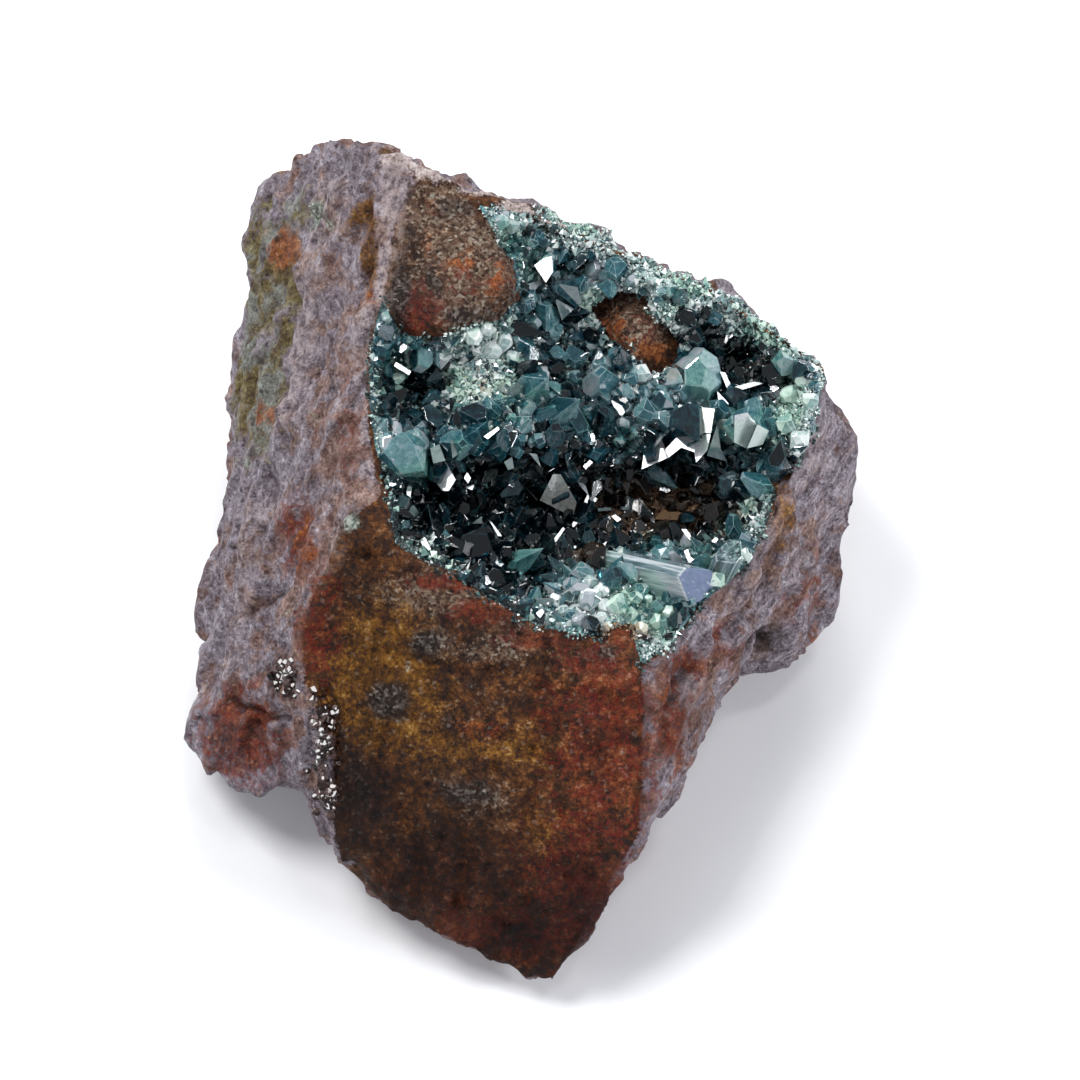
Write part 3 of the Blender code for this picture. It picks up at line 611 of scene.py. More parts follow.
def build_rock():
    """The rock with its fine surface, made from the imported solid, and what its material reads."""
    rock = in_scene("rock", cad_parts["matrix"].data.copy())
    modify(rock, "REMESH", mode="VOXEL", voxel_size=ROCK_VOXEL * MM)
    modify(rock, "SMOOTH", factor=0.5, iterations=SMOOTHING)
    apply_modifiers(rock)
    points, normals = mesh_points(rock.data)
    place = placed(points, TO_VIEW)
    u, v = place[:, 0], place[:, 1]
    towards_eye = (normals @ TO_WORLD[:3, :3] / MM)[:, 2]
    from_ridge = left_of(place, LEFT_RIDGE)
    left = soft_step(from_ridge, -0.5 - TOP_SOFTNESS * soft_step(v, *TOP_RISE), 0.5)
    right = soft_step(-left_of(place, RIGHT_RIDGE), -0.4, 0.4)
    behind = soft_step(-towards_eye, -0.35, -0.05)
    ahead = 1 - behind
    mauve = np.maximum(np.maximum(left, right), behind)
    in_vug = soft_step(edge_distance(u, v), 0.0, 0.6) * soft_step(towards_eye, 0.2, 0.5)
    crusty = np.maximum(patches(u, v, CRUSTY), 0.4 * patches(u, v, KNOB))
    crusty = np.maximum(crusty, 0.6 * patches(u, v, WET))
    bent = u + 0.5 * rough("bend along u", place), v + 0.5 * rough("bend along v", place)
    sunk = (near_cracks(*bent) + bumps(*bent, HOLES)) * ahead
    raised = near_ridges(*bent) * ahead
    broken = BACK_RELIEF * behind * rough("back", place)
    relief = (rock_relief(place, mauve, crusty) + raised + broken - sunk) * (1 - in_vug)
    moved = points + normals * relief[:, None] * MM
    rock.data.vertices.foreach_set("co", np.clip(moved, *cad_box).ravel())
    modify(rock, "SMOOTH", factor=0.5, iterations=SETTLING)
    apply_modifiers(rock)
    stains = {
        name: share * soft_step(rough(name, place), low, high)
        for name, (share, low, high) in STAINS.items()
    }
    # Patches of colour on the front and stains behind; among them the painted shade and the painted light
    # of the top strip
    for name, table in ROCK_PATCHES.items():
        set_attribute(rock.data, name, patches(u, v, table) * ahead + stains.get(name, 0) * behind)
    set_attribute(rock.data, "sunk", sunk)
    set_attribute(rock.data, "mauve", mauve)
    set_attribute(rock.data, "right", right * ahead)
    # Where the rock lies in the vug, for its painted shade
    set_attribute(rock.data, "vug", in_vug)
    # Where the painted highlight falls: the left ridge's crest, and the raised ridges
    crest_highlight = np.exp(-((from_ridge - 0.3) ** 2)) * soft_step(v, *CREST_RISE)
    set_attribute(rock.data, "ridge_highlight", np.maximum(crest_highlight * ahead, np.clip(raised, 0, 0.6)))
    rock.data.shade_smooth()
    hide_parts("matrix")
    return rock


# The crust
BED_CELL = 0.21
BED_SKIRT = 0.7
BED_THICK = 0.7
BED_LIFT = NODE_GAP + 0.75 * SHEET_THICKNESS
BED_MARGIN = 1.4
# How far from the crust's edge, and how high the bed stands over the rock there
BED_EDGE = ((-0.7, -0.1, 0.7), (-0.35, -0.12, BED_LIFT))
# How far under the vug's face and floor the rock may lie and still carry crystals, and a height for no rock
EDGE_DROP = 1.6
FLOOR_DROP = 1.2
NO_ROCK = -9.0
# Where the eye's rays start over the view's middle plane, in millimetres, and their length in metres
RAY_HEIGHT = 40.0
RAY_REACH = 0.2


class HeightMap:
    """Heights on a square grid over the view, read between its points."""

    def __init__(self, low, step, heights):
        self.low, self.step, self.heights = np.array(low), step, heights

    def at(self, u, v):
        place = (np.stack([u, v], axis=-1) - self.low) / self.step
        place = np.clip(place, 0, np.array(self.heights.shape) - 1.001)
        cell = place.astype(int)
        share = place - cell
        i, j, s, t = cell[..., 0], cell[..., 1], share[..., 0], share[..., 1]
        first = self.heights[i, j] * (1 - t) + self.heights[i, j + 1] * t
        return first * (1 - s) + (self.heights[i + 1, j] * (1 - t) + self.heights[i + 1, j + 1] * t) * s

    def facing(self, u, v, reach):
        """The way the surface faces, over a reach in millimetres."""
        slope_u = (self.at(u + reach, v) - self.at(u - reach, v)) / (2 * reach)
        slope_v = (self.at(u, v + reach) - self.at(u, v - reach)) / (2 * reach)
        return np.stack([-slope_u, -slope_v, np.ones_like(slope_u)], axis=-1)


def bed_relief(u, v):
    """The fine drusy roughness of the bed that the crystals grow from, in millimetres."""
    at = np.stack([u, v, np.zeros_like(u)], axis=-1).reshape(-1, 3)
    relief = 0.34 * rough("bed", at) - 0.30 * soft_step(cells(at / 0.8, 75), 0.1, 0.75) + 0.10
    return relief.reshape(np.shape(u))


def rock_heights(rock, u, v):
    """How high the rock's surface stands under each point of the view."""
    meet = ray_caster(rock)
    heights = np.full(u.shape, np.nan)
    for index in np.ndindex(u.shape):
        hit = meet(u[index], v[index])
        if hit is not None:
            heights[index] = RAY_HEIGHT - (hit - over(u[index], v[index])).length / MM
    return heights


def build_bed(rock):
    """A closed sheet over the vug's floor, and the maps of its surface and of the rock's."""
    rim = np.array(VUG_RIM)
    low, high = rim.min(0) - BED_MARGIN, rim.max(0) + BED_MARGIN
    steps = [np.arange(first, last, BED_CELL) for first, last in zip(low, high)]
    u, v = np.meshgrid(*steps, indexing="ij")
    within = edge_distance(u, v)
    bare = rock_heights(rock, u, v)
    found = ~np.isnan(bare)
    bare = np.where(found, bare, NO_ROCK)
    top = bare + np.interp(within, *BED_EDGE) + bed_relief(u, v) * soft_step(within, -0.1, 0.8)
    on_rock = found & ((within > 0.2) | (bare > face_height(u, v) - EDGE_DROP))
    kept = (within > -BED_SKIRT) & on_rock
    number = np.arange(u.size).reshape(u.shape)
    around = [np.s_[:-1, :-1], np.s_[1:, :-1], np.s_[1:, 1:], np.s_[:-1, 1:]]
    whole = np.all([kept[corner] for corner in around], axis=0)
    quads = np.stack([number[corner] for corner in around], axis=-1)[whole]
    verts = placed(np.stack([u, v, top], axis=-1).reshape(-1, 3), TO_WORLD)
    bed = new_piece("druse_bed", verts, quads.tolist())
    edit = bmesh.new()
    edit.from_mesh(bed.data)
    bmesh.ops.delete(edit, geom=[vert for vert in edit.verts if not vert.link_faces], context="VERTS")
    edit.to_mesh(bed.data)
    edit.free()
    modify(bed, "SOLIDIFY", thickness=BED_THICK * MM, offset=-1)
    apply_modifiers(bed)
    points = placed(mesh_points(bed.data)[0], TO_VIEW)
    for name, value in (("pale", paleness), ("brown", brownness), ("light", lightness)):
        set_attribute(bed.data, name, value(points[:, 0], points[:, 1]))
    bed.data.shade_smooth()
    return bed, HeightMap(low, BED_CELL, top), HeightMap(low, BED_CELL, bare)


# Where the crust is a fine pale druse, and where brown rock shows between its crystals
PALE = (
    (-4.0, 15.4, 3.4, 1.8, 0.95), (-4.6, 12.8, 2.8, 3.0, 1.0), (3.2, 17.4, 1.4, 2.8, 0.95),
    (9.8, 17.6, 2.4, 2.0, 0.95), (6.2, 12.8, 2.4, 0.9, 0.85), (6.8, 20.0, 4.0, 1.5, 0.9),
    (10.6, 17.2, 2.6, 2.2, 0.85), (8.0, 13.4, 2.4, 1.2, 0.7), (18.0, 10.6, 1.9, 3.6, 1.0),
    (-3.0, 23.6, 2.2, 1.4, 0.8), (-0.4, 21.0, 1.2, 2.6, 0.4), (4.6, -3.2, 3.0, 1.6, 0.95),
    (8.2, -5.6, 1.6, 2.0, 0.9), (15.0, 4.0, 1.2, 2.4, 0.9), (11.4, 16.0, 2.0, 2.6, 0.8),
    (-11.0, 9.0, 0.9, 4.0, 0.6), (-9.0, 0.8, 2.0, 1.0, 0.5), (-10.4, 14.4, 1.2, 1.0, 0.6),
)
PEPPER = (
    (-4.2, 13.0, 2.6, 3.2, 1.0),
    (6.6, 16.6, 3.6, 3.2, 0.5),
    (-8.6, 15.6, 2.6, 1.0, 0.6),
)
BROWN = (
    (8.6, 3.8, 5.2, 2.4, 1.0), (-4.0, 12.1, 1.5, 2.0, 0.45), (2.0, 6.2, 4.0, 1.0, 0.5),
    (6.0, -5.0, 1.8, 0.7, 0.9), (3.0, 0.0, 1.6, 0.9, 0.8), (15.6, 13.4, 2.4, 1.6, 0.5),
)

# Where the crystals are light and full of light, against deep ones elsewhere; partly painted light and
# painted shade
LIGHT = (
    (0.4, 18.4, 1.8, 4.0, 0.45), (7.1, 11.7, 6.0, 2.2, 0.36), (10.6, 12.9, 2.2, 2.0, 0.72),
    (0.0, 11.3, 4.0, 2.0, 0.45), (-4.3, 9.2, 3.0, 1.6, 0.65), (-8.9, 7.4, 2.4, 1.8, 0.95),
    (-9.9, 15.4, 2.0, 1.4, 0.5), (-2.8, 23.8, 2.4, 2.0, 0.7), (4.3, 20.2, 5.0, 1.6, 0.8),
    (13.5, 9.6, 1.8, 1.8, 0.7), (8.9, -0.7, 3.0, 2.4, 0.95), (4.3, -3.2, 4.0, 1.8, 0.9),
    (13.1, -0.7, 2.0, 2.0, 0.7), (14.5, 4.3, 1.6, 3.0, 0.45), (-3.5, 0.7, 3.0, 1.4, 0.4),
    (14.9, 16.3, 3.0, 1.4, 0.3),
)
# The deep band and the pits of the floor, where the crystals are darker: partly painted shade
DEEP_AND_SHADED = (
    (1.4, 4.0, 17.0, 2.8, 1.0), (-5.0, 1.2, 6.0, 1.8, 0.9), (-8.0, 12.3, 1.8, 2.0, 1.0),
    (2.4, 16.4, 1.4, 2.6, 0.7), (14.2, 14.8, 2.8, 2.0, 1.0), (-1.6, -1.4, 2.2, 1.4, 0.7),
    (12.6, 6.8, 2.0, 1.2, 0.8), (-5.0, 5.6, 4.0, 1.0, 0.7), (3.0, 21.2, 1.6, 1.0, 0.6),
)


def paleness(u, v):
    """How much of the crust is pale at each point, with the edge along the rock's top and right."""
    upper_right = soft_step(u, -1.0, 1.0) * soft_step(v, 13, 15)
    along_edge = soft_step(0.9 - inside_distance(u, v, VUG_RIM), 0.0, 0.5) * upper_right
    return np.maximum(patches(u, v, PALE), 0.6 * along_edge)


def brownness(u, v):
    """How much brown rock shows between the crystals."""
    return patches(u, v, BROWN)


def lightness(u, v):
    """How light the clear crystals are: partly their colour, partly painted light and painted shade."""
    return np.clip(0.34 + 0.80 * patches(u, v, LIGHT) - 0.85 * patches(u, v, DEEP_AND_SHADED), 0, 1)


# The shapes of the crystals, in half widths
SHAPE_COUNT = 28
SHAPE_SEED = 5
HALF_CUBE = 3.0
MERGED = 0.01
EDGE_WEAR = 0.035
# How much lighter the tone of a bevel's face is: a painted highlight along the crystals' edges
EDGE_LIGHT = 0.28
ROUND_FACES = 18
ROUND_COUNT = 10
ROUND_LENGTH = 1.15
COLUMN_ENDS = (
    ((0.35, 0.25, 1), 0.95),
    ((-0.9, 0.1, 1), 1.15),
    ((0.1, -0.2, -1), 0.95),
    ((0.2, 0.9, 1), 1.2),
)
# Long crystals: from which length over width they are columns or blades, and how those stand
COLUMN_LENGTH = 1.8
COLUMN_SHARE = 0.88
COLUMN_BACK = 0.62
COLUMN_WIDTH = 1.6
COLUMN_LIFT = 0.45
COLUMN_TONE = 0.58
COLUMN_SQUEEZE = 0.08
BLADE_LENGTH = 2.5
BLADE_FLATNESS = 0.3
LUMP_LENGTH = 0.95
LUMP_LIFT = 0.3
LUMP_LEAN = 0.5
# How far in from the edge the floor is open, and over what reach its facing is read
OPEN_FLOOR = 0.3
FACING_REACH = 0.5
# The large crystals: how their facing is read and pulls at their lean, how high they stand, and their tones
LARGE_REACH = 0.8
FACING_PULL = 0.4
LARGE_LIFT = 0.35
BRIGHT_TONE = 0.42
PALE_TONE = 0.35
# How uneven the crystals' colours are, and how their grain runs
TONE_SPREAD = 0.20
PEPPER_SPREAD = 0.25
GRAIN_SQUEEZE = 0.35
GRAIN_RANGE = 90
BROWN_SPREAD = 0.15
FACE_SPREAD = 0.22
# Crystals that show one flat face: how their feet spread and reach down, and the dark tone of their bodies,
# painted shade
FOOT_FLARE = 1.12
FOOT_DEPTH = 0.9
SHADED_BODY_TONE = 0.18
# A way towards none of the lights
NO_LIGHT = (0.75, -0.62, 0.25)
# How large crystals are turned so that they glare little
GLARE_REACH = 0.62
CALM_TRIES = 4
CALM_WIDTH = 0.42
LARGE_TRIES = 24
LEANS = ((0.22, 0), (-0.22, 0), (0, 0.22), (0, -0.22), (0.4, 0), (0, -0.4))
# The strewn crystals: tries, least half width, its spread and the power of its draw, room as a share of the
# half widths, least distance from the edge, how deep they are sunk, how much they lean, and their lengths
Strewn = namedtuple("Strewn", "tries smallest spread power room reach sink lean lengths")
MIDDLING = Strewn(12000, 0.50, 0.75, 1.8, 0.46, 0.4, -0.25, 0.50, (0.95, 1.5))
SMALL = Strewn(16000, 0.18, 0.30, 1.3, 0.40, 0.2, -0.15, 0.6, (1.0, 2.0))
BLADES = Strewn(2600, 0.12, 0.16, 1.0, 1.0, 0.8, -1.6, 0.9, (2.6, 4.0))
POWDER = Strewn(90000, 0.11, 0.30, 2.2, 0.34, 0.0, -0.25, 0.7, (0.8, 1.3))
DRUSE = Strewn(60000, 0.07, 0.14, 1.5, 0.34, -0.45, -0.1, 0.9, (0.8, 1.5))
STREWN_MARGIN = (0.8, 1.2)
EDGE_ROOM = 0.3
RAGGED_RIM = 0.45
CRYSTAL_SEED = 17
ROUNDER_SEED = 29
ROUNDED_SHARE = 0.5
PIECE_SEEDS = {
    "deep_crystals": 1,
    "light_crystals": 2,
    "pale_crystals": 3,
    "fine_druse": 4,
    "column_crystals": 5,
    "faced_crystals": 6,
    "glassy_film": 7,
}
# The beads of the film
FILM_SEED = 23
BEADS_PER_PATCH = 46
BEAD_SPREAD = 0.55
BEAD_LEAN = 0.035
BEAD_WIDTHS = (0.14, 0.38)
BEAD_FLATNESS = 0.55
BEAD_TONE = 0.3


def cut_solid(planes):
    """The corners and faces of what is left of a cube inside some planes, each (normal, distance)."""
    edit = bmesh.new()
    bmesh.ops.create_cube(edit, size=2 * HALF_CUBE)
    for normal, reach in planes:
        whole = edit.verts[:] + edit.edges[:] + edit.faces[:]
        plane = {"plane_co": normal * reach, "plane_no": normal}
        cut = bmesh.ops.bisect_plane(edit, geom=whole, clear_outer=True, **plane)
        rim = [part for part in cut["geom_cut"] if isinstance(part, bmesh.types.BMEdge)]
        if rim:
            bmesh.ops.contextual_create(edit, geom=rim)
    bmesh.ops.remove_doubles(edit, verts=edit.verts, dist=MERGED)
    bmesh.ops.recalc_face_normals(edit, faces=edit.faces)
    bevelled = bmesh.ops.bevel(edit, geom=edit.edges[:], offset=EDGE_WEAR, segments=1, affect="EDGES")
    painted_highlights = set(bevelled["faces"])
    bmesh.ops.recalc_face_normals(edit, faces=edit.faces)
    edit.verts.index_update()
    verts = np.array([vert.co[:] for vert in edit.verts])
    kept = [face for face in edit.faces if len(face.verts) > 2]
    faces = [[vert.index for vert in face.verts] for face in kept]
    # Each bevel's face is marked with its painted highlight
    flags = [EDGE_LIGHT * (face in painted_highlights) for face in kept]
    edit.free()
    return verts, faces, flags


def cut_crystal(draw):
    """One crystal of unit half width: eight uneven faces, with its edges and tips cut a little."""
    tall = draw.uniform(1.05, 1.45)
    planes = []
    for su, sv, sw in itertools.product((-1, 1), repeat=3):
        planes.append((Vector((su, sv * 1.12, sw / tall)), draw.uniform(0.60, 0.78)))
    for side in (-1, 1):
        planes.append((Vector((side, 0, 0)), draw.uniform(0.72, 1.0)))
        planes.append((Vector((0, side, 0)), draw.uniform(0.66, 0.95)))
        planes.append((Vector((side * draw.uniform(-0.2, 0.2), 0, side)), draw.uniform(0.66, 1.2) * tall))
        planes.append((Vector((side, 0, 0.62 * draw.choice((-1, 1)))), draw.uniform(0.72, 0.95)))
    return cut_solid([(way.normalized(), reach) for way, reach in planes])


def column_crystal():
    """A stout column of unit half width with six sides and blunt ends."""
    around = [(math.cos(turn), math.sin(turn)) for turn in np.arange(0.2, 6.2, 1.047)]
    planes = [((across, 0.8 * up, 0), 0.8 - 0.22 * abs(up)) for across, up in around]
    return cut_solid([(Vector(way).normalized(), reach) for way, reach in (*planes, *COLUMN_ENDS)])


def round_crystal(draw):
    """A crystal of unit half width so stepped with faces that it is nearly round."""
    ways = [Vector([draw.gauss(0, 1) for _ in range(3)]).normalized() for _ in range(ROUND_FACES)]
    ways += [Vector(way) for way in ((0, 0, 1), (0, 0, -1), (0, 1, 0), (0, -1, 0), (1, 0, 0), (-1, 0, 0))]
    return cut_solid([(way, draw.uniform(0.84, 1.0)) for way in ways])


def plain_crystal(draw):
    """A small crystal of unit half width: a double pyramid of four uneven sides."""
    around = [(math.cos(turn), math.sin(turn)) for turn in (0.1, 1.6, 3.2, 4.8)]
    ring = [
        (x * draw.uniform(0.7, 1.1), y * draw.uniform(0.7, 1.1), draw.uniform(-0.2, 0.2))
        for x, y in around
    ]
    tips = [
        (draw.uniform(-0.2, 0.2), draw.uniform(-0.2, 0.2), side * draw.uniform(0.9, 1.3))
        for side in (-1, 1)
    ]
    upper = [[side, (side + 1) % 4, 5] for side in range(4)]
    lower = [[(side + 1) % 4, side, 4] for side in range(4)]
    return np.array(ring + tips), upper + lower, [0.0] * 8


def crystal_shapes(make, count):
    """A set of crystal shapes that the crust draws from."""
    draw = random.Random(SHAPE_SEED)
    return [make(draw) for _ in range(count)]


def mirror_way(light):
    """The way a face looks when it throws a light at the eye, or a way that catches none of them."""
    towards = Vector(LIGHTS[light][0]).normalized() if light else Vector(NO_LIGHT).normalized()
    return (towards + Vector((0, 0, 1))).normalized()


def faced_crystals(maps):
    """Crystals that each show one flat face, with their shapes and seats."""
    shapes, seats = [], []
    for corners, lift, light, shade in FACES:
        outline = np.array([seen(x, y) for x, y in corners])
        edges = outline - np.roll(outline, 1, axis=0)
        before = np.roll(edges, 1, axis=0)
        if np.sum(before[:, 0] * edges[:, 1] - before[:, 1] * edges[:, 0]) < 0:
            outline = outline[::-1]
        middle = outline.mean(0)
        spread = outline - middle
        way = mirror_way(light)
        top = np.column_stack([spread, -(spread @ np.array(way[:2])) / way[2]])
        foot = np.column_stack([spread * FOOT_FLARE, np.full(len(spread), -lift - FOOT_DEPTH)])
        count = len(spread)
        sides = [list(range(count)), list(range(2 * count - 1, count - 1, -1))]
        sides += [[n, n + count, (n + 1) % count + count, (n + 1) % count] for n in range(count)]
        # The flat face's tone rises above the body's painted shade, to a painted highlight where the face
        # mirrors a light
        shapes.append((np.concatenate([top, foot]), sides, [shade - SHADED_BODY_TONE] + [0.0] * (count + 1)))
        base = float(maps[0].at(middle[:1], middle[1:])[0]) + lift
        seats.append((np.array((*middle, base)), np.eye(3), 1.0, 1.0, len(shapes) - 1, SHADED_BODY_TONE))
    return shapes, seats


def standing(axis, turn):
    """The turn that stands a crystal along an axis."""
    spin = Matrix.Rotation(turn, 3, "Z")
    return np.array(axis.to_track_quat("Z", "Y").to_matrix() @ spin)


def shape_faces(shape):
    """The way each face of a shape looks, as long as the face is large."""
    corners, sides, _ = shape
    return np.array([np.cross(corners[side], np.roll(corners[side], -1, axis=0)).sum(0) for side in sides])


def glare(faces, turn, length):
    """How much light the faces of a crystal throw at the eye."""
    looks = (faces / (1, 1, length)) @ turn.T
    size = np.linalg.norm(looks, axis=1)
    ways = looks / size[:, None]
    bounced = 2 * ways[:, 2:] * ways - (0, 0, 1)
    total = 0.0
    for towards, distance, side, radiance, _ in LIGHTS.values():
        near = bounced @ (np.array(towards) / np.linalg.norm(towards))
        caught = (near > math.cos(math.atan(GLARE_REACH * side / distance))) & (ways[:, 2] > 0)
        total += radiance * float(np.sum(size * ways[:, 2] * caught))
    return total


def calm(shape, axes, spin, length, tries):
    """The turn that makes a crystal glare least, out of some tries about each of some axes."""
    faces = shape_faces(shape)
    spins = [spin + 2 * math.pi * n / tries for n in range(tries)]
    turns = [standing(axis.normalized(), each) for axis in axes for each in spins]
    return min(turns, key=lambda way: glare(faces, way, length))


def join_crystals(name, shapes, seats, squeeze=GRAIN_SQUEEZE):
    """One mesh of many crystals, each (place, turn matrix, half width, length over width, shape, tone)."""
    verts, faces, grains, start = [], [], [], 0
    painted = {"tone": [], "brown": [], "end": []}
    rusty = brownness(*np.array([seat[0][:2] for seat in seats]).T)
    draw = random.Random(PIECE_SEEDS[name])
    for (place, turn, width, length, shape, tone), brown in zip(seats, rusty):
        corners, sides, painted_highlights = shapes[shape]
        flat = BLADE_FLATNESS if length >= BLADE_LENGTH else 1.0
        stretched = corners * (width, width * flat, width * length)
        verts.append(stretched @ turn.T + place)
        grains.append((stretched + [draw.uniform(0, GRAIN_RANGE) for _ in range(3)]) * (1, 1, squeeze) * MM)
        faces += [[start + corner for corner in side] for side in sides]
        start += len(corners)
        shade = brown + draw.gauss(0, BROWN_SPREAD)
        for side, edge in zip(sides, painted_highlights):
            spread = draw.gauss(0, FACE_SPREAD)
            # A bevel takes its painted highlight and a faced crystal's face its own tone, in place of the
            # random spread
            painted["tone"].append(tone + (edge if edge else spread))
            painted["brown"].append(shade)
            # The blunt end of a wide column is marked for a painted lavender reflection
            blunt_end = np.mean([corners[corner][2] for corner in side]) > 0.8 and width > COLUMN_WIDTH
            painted["end"].append(float(blunt_end))
    piece = new_piece(name, placed(np.concatenate(verts), TO_WORLD), faces)
    for kind, values in painted.items():
        layer = piece.data.attributes.new(kind, "FLOAT", "FACE")
        layer.data.foreach_set("value", np.clip(values, 0, 1).astype(np.float32))
    layer = piece.data.attributes.new("grain", "FLOAT_VECTOR", "POINT")
    layer.data.foreach_set("vector", np.concatenate(grains).astype(np.float32).ravel())
    return piece


def crust_reach(u, v):
    """How far a point is inside the crust's druse, which runs out over the rock's upper edge."""
    over_edge = soft_step(u, -1.2, 0.4) * soft_step(v, 12.6, 13.6)
    ragged = noise(np.stack([u / 0.9, v / 0.9, np.zeros_like(u)], axis=1), 131)
    from_rim = inside_distance(u, v, VUG_RIM) + 1.7 * over_edge + RAGGED_RIM * (ragged - 0.4)
    return np.minimum(from_rim, -inside_distance(u, v, ISLAND_RIM))


def scatter(draw, kind, chance, taken):
    """Seats of one kind strewn over the crust: (u, v, half width), with none on another's seat."""
    rim = np.array(VUG_RIM)
    low, high = rim.min(0) - STREWN_MARGIN[0], rim.max(0) + STREWN_MARGIN[1]
    tries = range(kind.tries)
    points = np.array([(draw.uniform(low[0], high[0]), draw.uniform(low[1], high[1])) for _ in tries])
    widths = np.array([kind.smallest + kind.spread * draw.random() ** kind.power for _ in tries])
    inside = crust_reach if kind.reach <= 0 else edge_distance
    keep = inside(*points.T) > kind.reach + EDGE_ROOM * widths
    keep &= np.array([draw.random() for _ in tries]) < chance(*points.T)
    widest = kind.smallest + kind.spread
    grid, cell = {}, kind.room * (widest + max([widest] + [seat[2] for seat in taken])) + 0.01
    for u, v, width in taken:
        grid.setdefault((int(u // cell), int(v // cell)), []).append((u, v, width))
    seats = []
    for (u, v), width in zip(points[keep], widths[keep]):
        home = int(u // cell), int(v // cell)
        around = itertools.product(*((index - 1, index, index + 1) for index in home))
        near = (seat for spot in around for seat in grid.get(spot, ()))
        if any(math.hypot(u - su, v - sv) < kind.room * (width + other) for su, sv, other in near):
            continue
        grid.setdefault(home, []).append((u, v, width))
        seats.append((float(u), float(v), float(width)))
    return seats


def stood_up(draw, maps, kind, seats, tone, rounded=0.0, shapes=None):
    """Turns seats on the crust into crystals on it, each along the way the crust faces, more or less."""
    rounder = random.Random(ROUNDER_SEED)
    bed, bare = maps
    u = np.array([seat[0] for seat in seats])
    v = np.array([seat[1] for seat in seats])
    within = edge_distance(u, v) > OPEN_FLOOR
    base = np.where(within, bed.at(u, v), np.maximum(bed.at(u, v), bare.at(u, v)))
    on_rock = base > np.where(within, floor_height(u, v) - FLOOR_DROP, face_height(u, v) - EDGE_DROP)
    facing = bed.facing(u, v, FACING_REACH)
    tones = tone(u, v)
    spread = TONE_SPREAD + PEPPER_SPREAD * patches(u, v, PEPPER)
    made = []
    for n, (seat_u, seat_v, width) in enumerate(seats):
        if not on_rock[n]:
            continue
        lean = draw.gauss(0, kind.lean), draw.gauss(0, kind.lean), 0
        axis = Vector(facing[n]).normalized() + Vector(lean)
        place = np.array((seat_u, seat_v, base[n] - kind.sink * width))
        spin = draw.uniform(0, 2 * math.pi)
        shade = tones[n] + draw.gauss(0, spread[n])
        length, shape = draw.uniform(*kind.lengths), draw.randrange(SHAPE_COUNT)
        if rounder.random() < rounded:
            length, shape = 1.0, SHAPE_COUNT + 1 + shape % ROUND_COUNT
        turn = standing(axis.normalized(), spin)
        if shapes and width > CALM_WIDTH:
            turn = calm(shapes[shape], [axis], spin, length, CALM_TRIES)
        made.append((place, turn, width, length, shape, shade))
    return made


def large_seats(draw, maps, shapes):
    """The crystals that can be told apart, where the crust's solid has them: light, deep and columns."""
    light, deep, columns = [], [], []
    for u, v, width, length, lean_u, lean_v, turn in LARGE_CRYSTALS:
        at = np.array([u]), np.array([v])
        facing = Vector(maps[0].facing(*at, LARGE_REACH)[0]).normalized()
        axis = (Vector((lean_u, lean_v, 1.0)) + facing * FACING_PULL).normalized()
        turn = math.radians(turn)
        place = np.array((u, v, float(maps[0].at(*at)[0]) + LARGE_LIFT * width))
        shape = draw.randrange(SHAPE_COUNT)
        if length >= COLUMN_LENGTH:
            back = np.array(axis.normalized()) * COLUMN_BACK * width
            place = place - back + (0, 0, COLUMN_LIFT)
            way = standing(axis, turn)
            columns.append((place, way, width * COLUMN_SHARE, length, SHAPE_COUNT, COLUMN_TONE))
            continue
        if length < ROUND_LENGTH:
            shape = SHAPE_COUNT + 1 + shape % ROUND_COUNT
        bright = float(lightness(*at)[0])
        shade = bright * BRIGHT_TONE + PALE_TONE * float(paleness(*at)[0])
        axes = [axis] + [axis + Vector((*lean, 0)) for lean in LEANS]
        way = calm(shapes[shape], axes, turn, length, LARGE_TRIES)
        (light if bright > 0.5 else deep).append((place, way, width, length, shape, shade))
    return light, deep, columns


def build_film(rock):
    """A glassy film in beads on the rock's lower left, that glints."""
    draw = random.Random(FILM_SEED)
    meet = ray_caster(rock)
    shapes, seats = crystal_shapes(round_crystal, ROUND_COUNT), []
    for at_u, at_v, reach_u, reach_v, strength in WET:
        for _ in range(int(strength * BEADS_PER_PATCH)):
            u = at_u + draw.gauss(0, BEAD_SPREAD * reach_u)
            v = at_v + draw.gauss(0, BEAD_SPREAD * reach_v)
            hit = meet(u, v)
            if hit is None:
                continue
            light = draw.choice(("key", "left", "key", "low"))
            axis = mirror_way(light) + Vector([draw.gauss(0, BEAD_LEAN) for _ in range(3)])
            place = np.array(LAID_DOWN.inverted() @ hit)
            turn = standing(axis.normalized(), draw.uniform(0, 6))
            width, shape = draw.uniform(*BEAD_WIDTHS), draw.randrange(ROUND_COUNT)
            seats.append((place, turn, width, BEAD_FLATNESS, shape, BEAD_TONE))
    return join_crystals("glassy_film", shapes, seats)


def film_surface():
    """The film takes the rock's red-brown and shines."""
    s = Surface("film_surface")
    cloud = s.noise(0.8, 4, 0.6)
    colour = s.ramp(cloud, (0.35, 22, 12, 10), (0.5, 50, 34, 30), (0.65, 104, 84, 80))
    s.shader.inputs["IOR"].default_value = FILM_IOR
    return s.finish(Base_Color=colour, Roughness=s.step(cloud, 0.3, 0.7, 0.04, 0.12))


def clear_chance(u, v):
    """Clear crystals grow where the crust is neither pale nor brown nor peppery."""
    open_floor = (1 - 0.85 * brownness(u, v)) * (1 - patches(u, v, PEPPER))
    return np.clip(1.05 - 1.2 * paleness(u, v), 0.02, 1) * open_floor


def blade_chance(u, v):
    """The few blades stand in the deep band."""
    return 0.10 * np.exp(-(((v - 4.0) / 3.6) ** 2))


def pale_chance(u, v):
    return paleness(u, v) ** 1.2


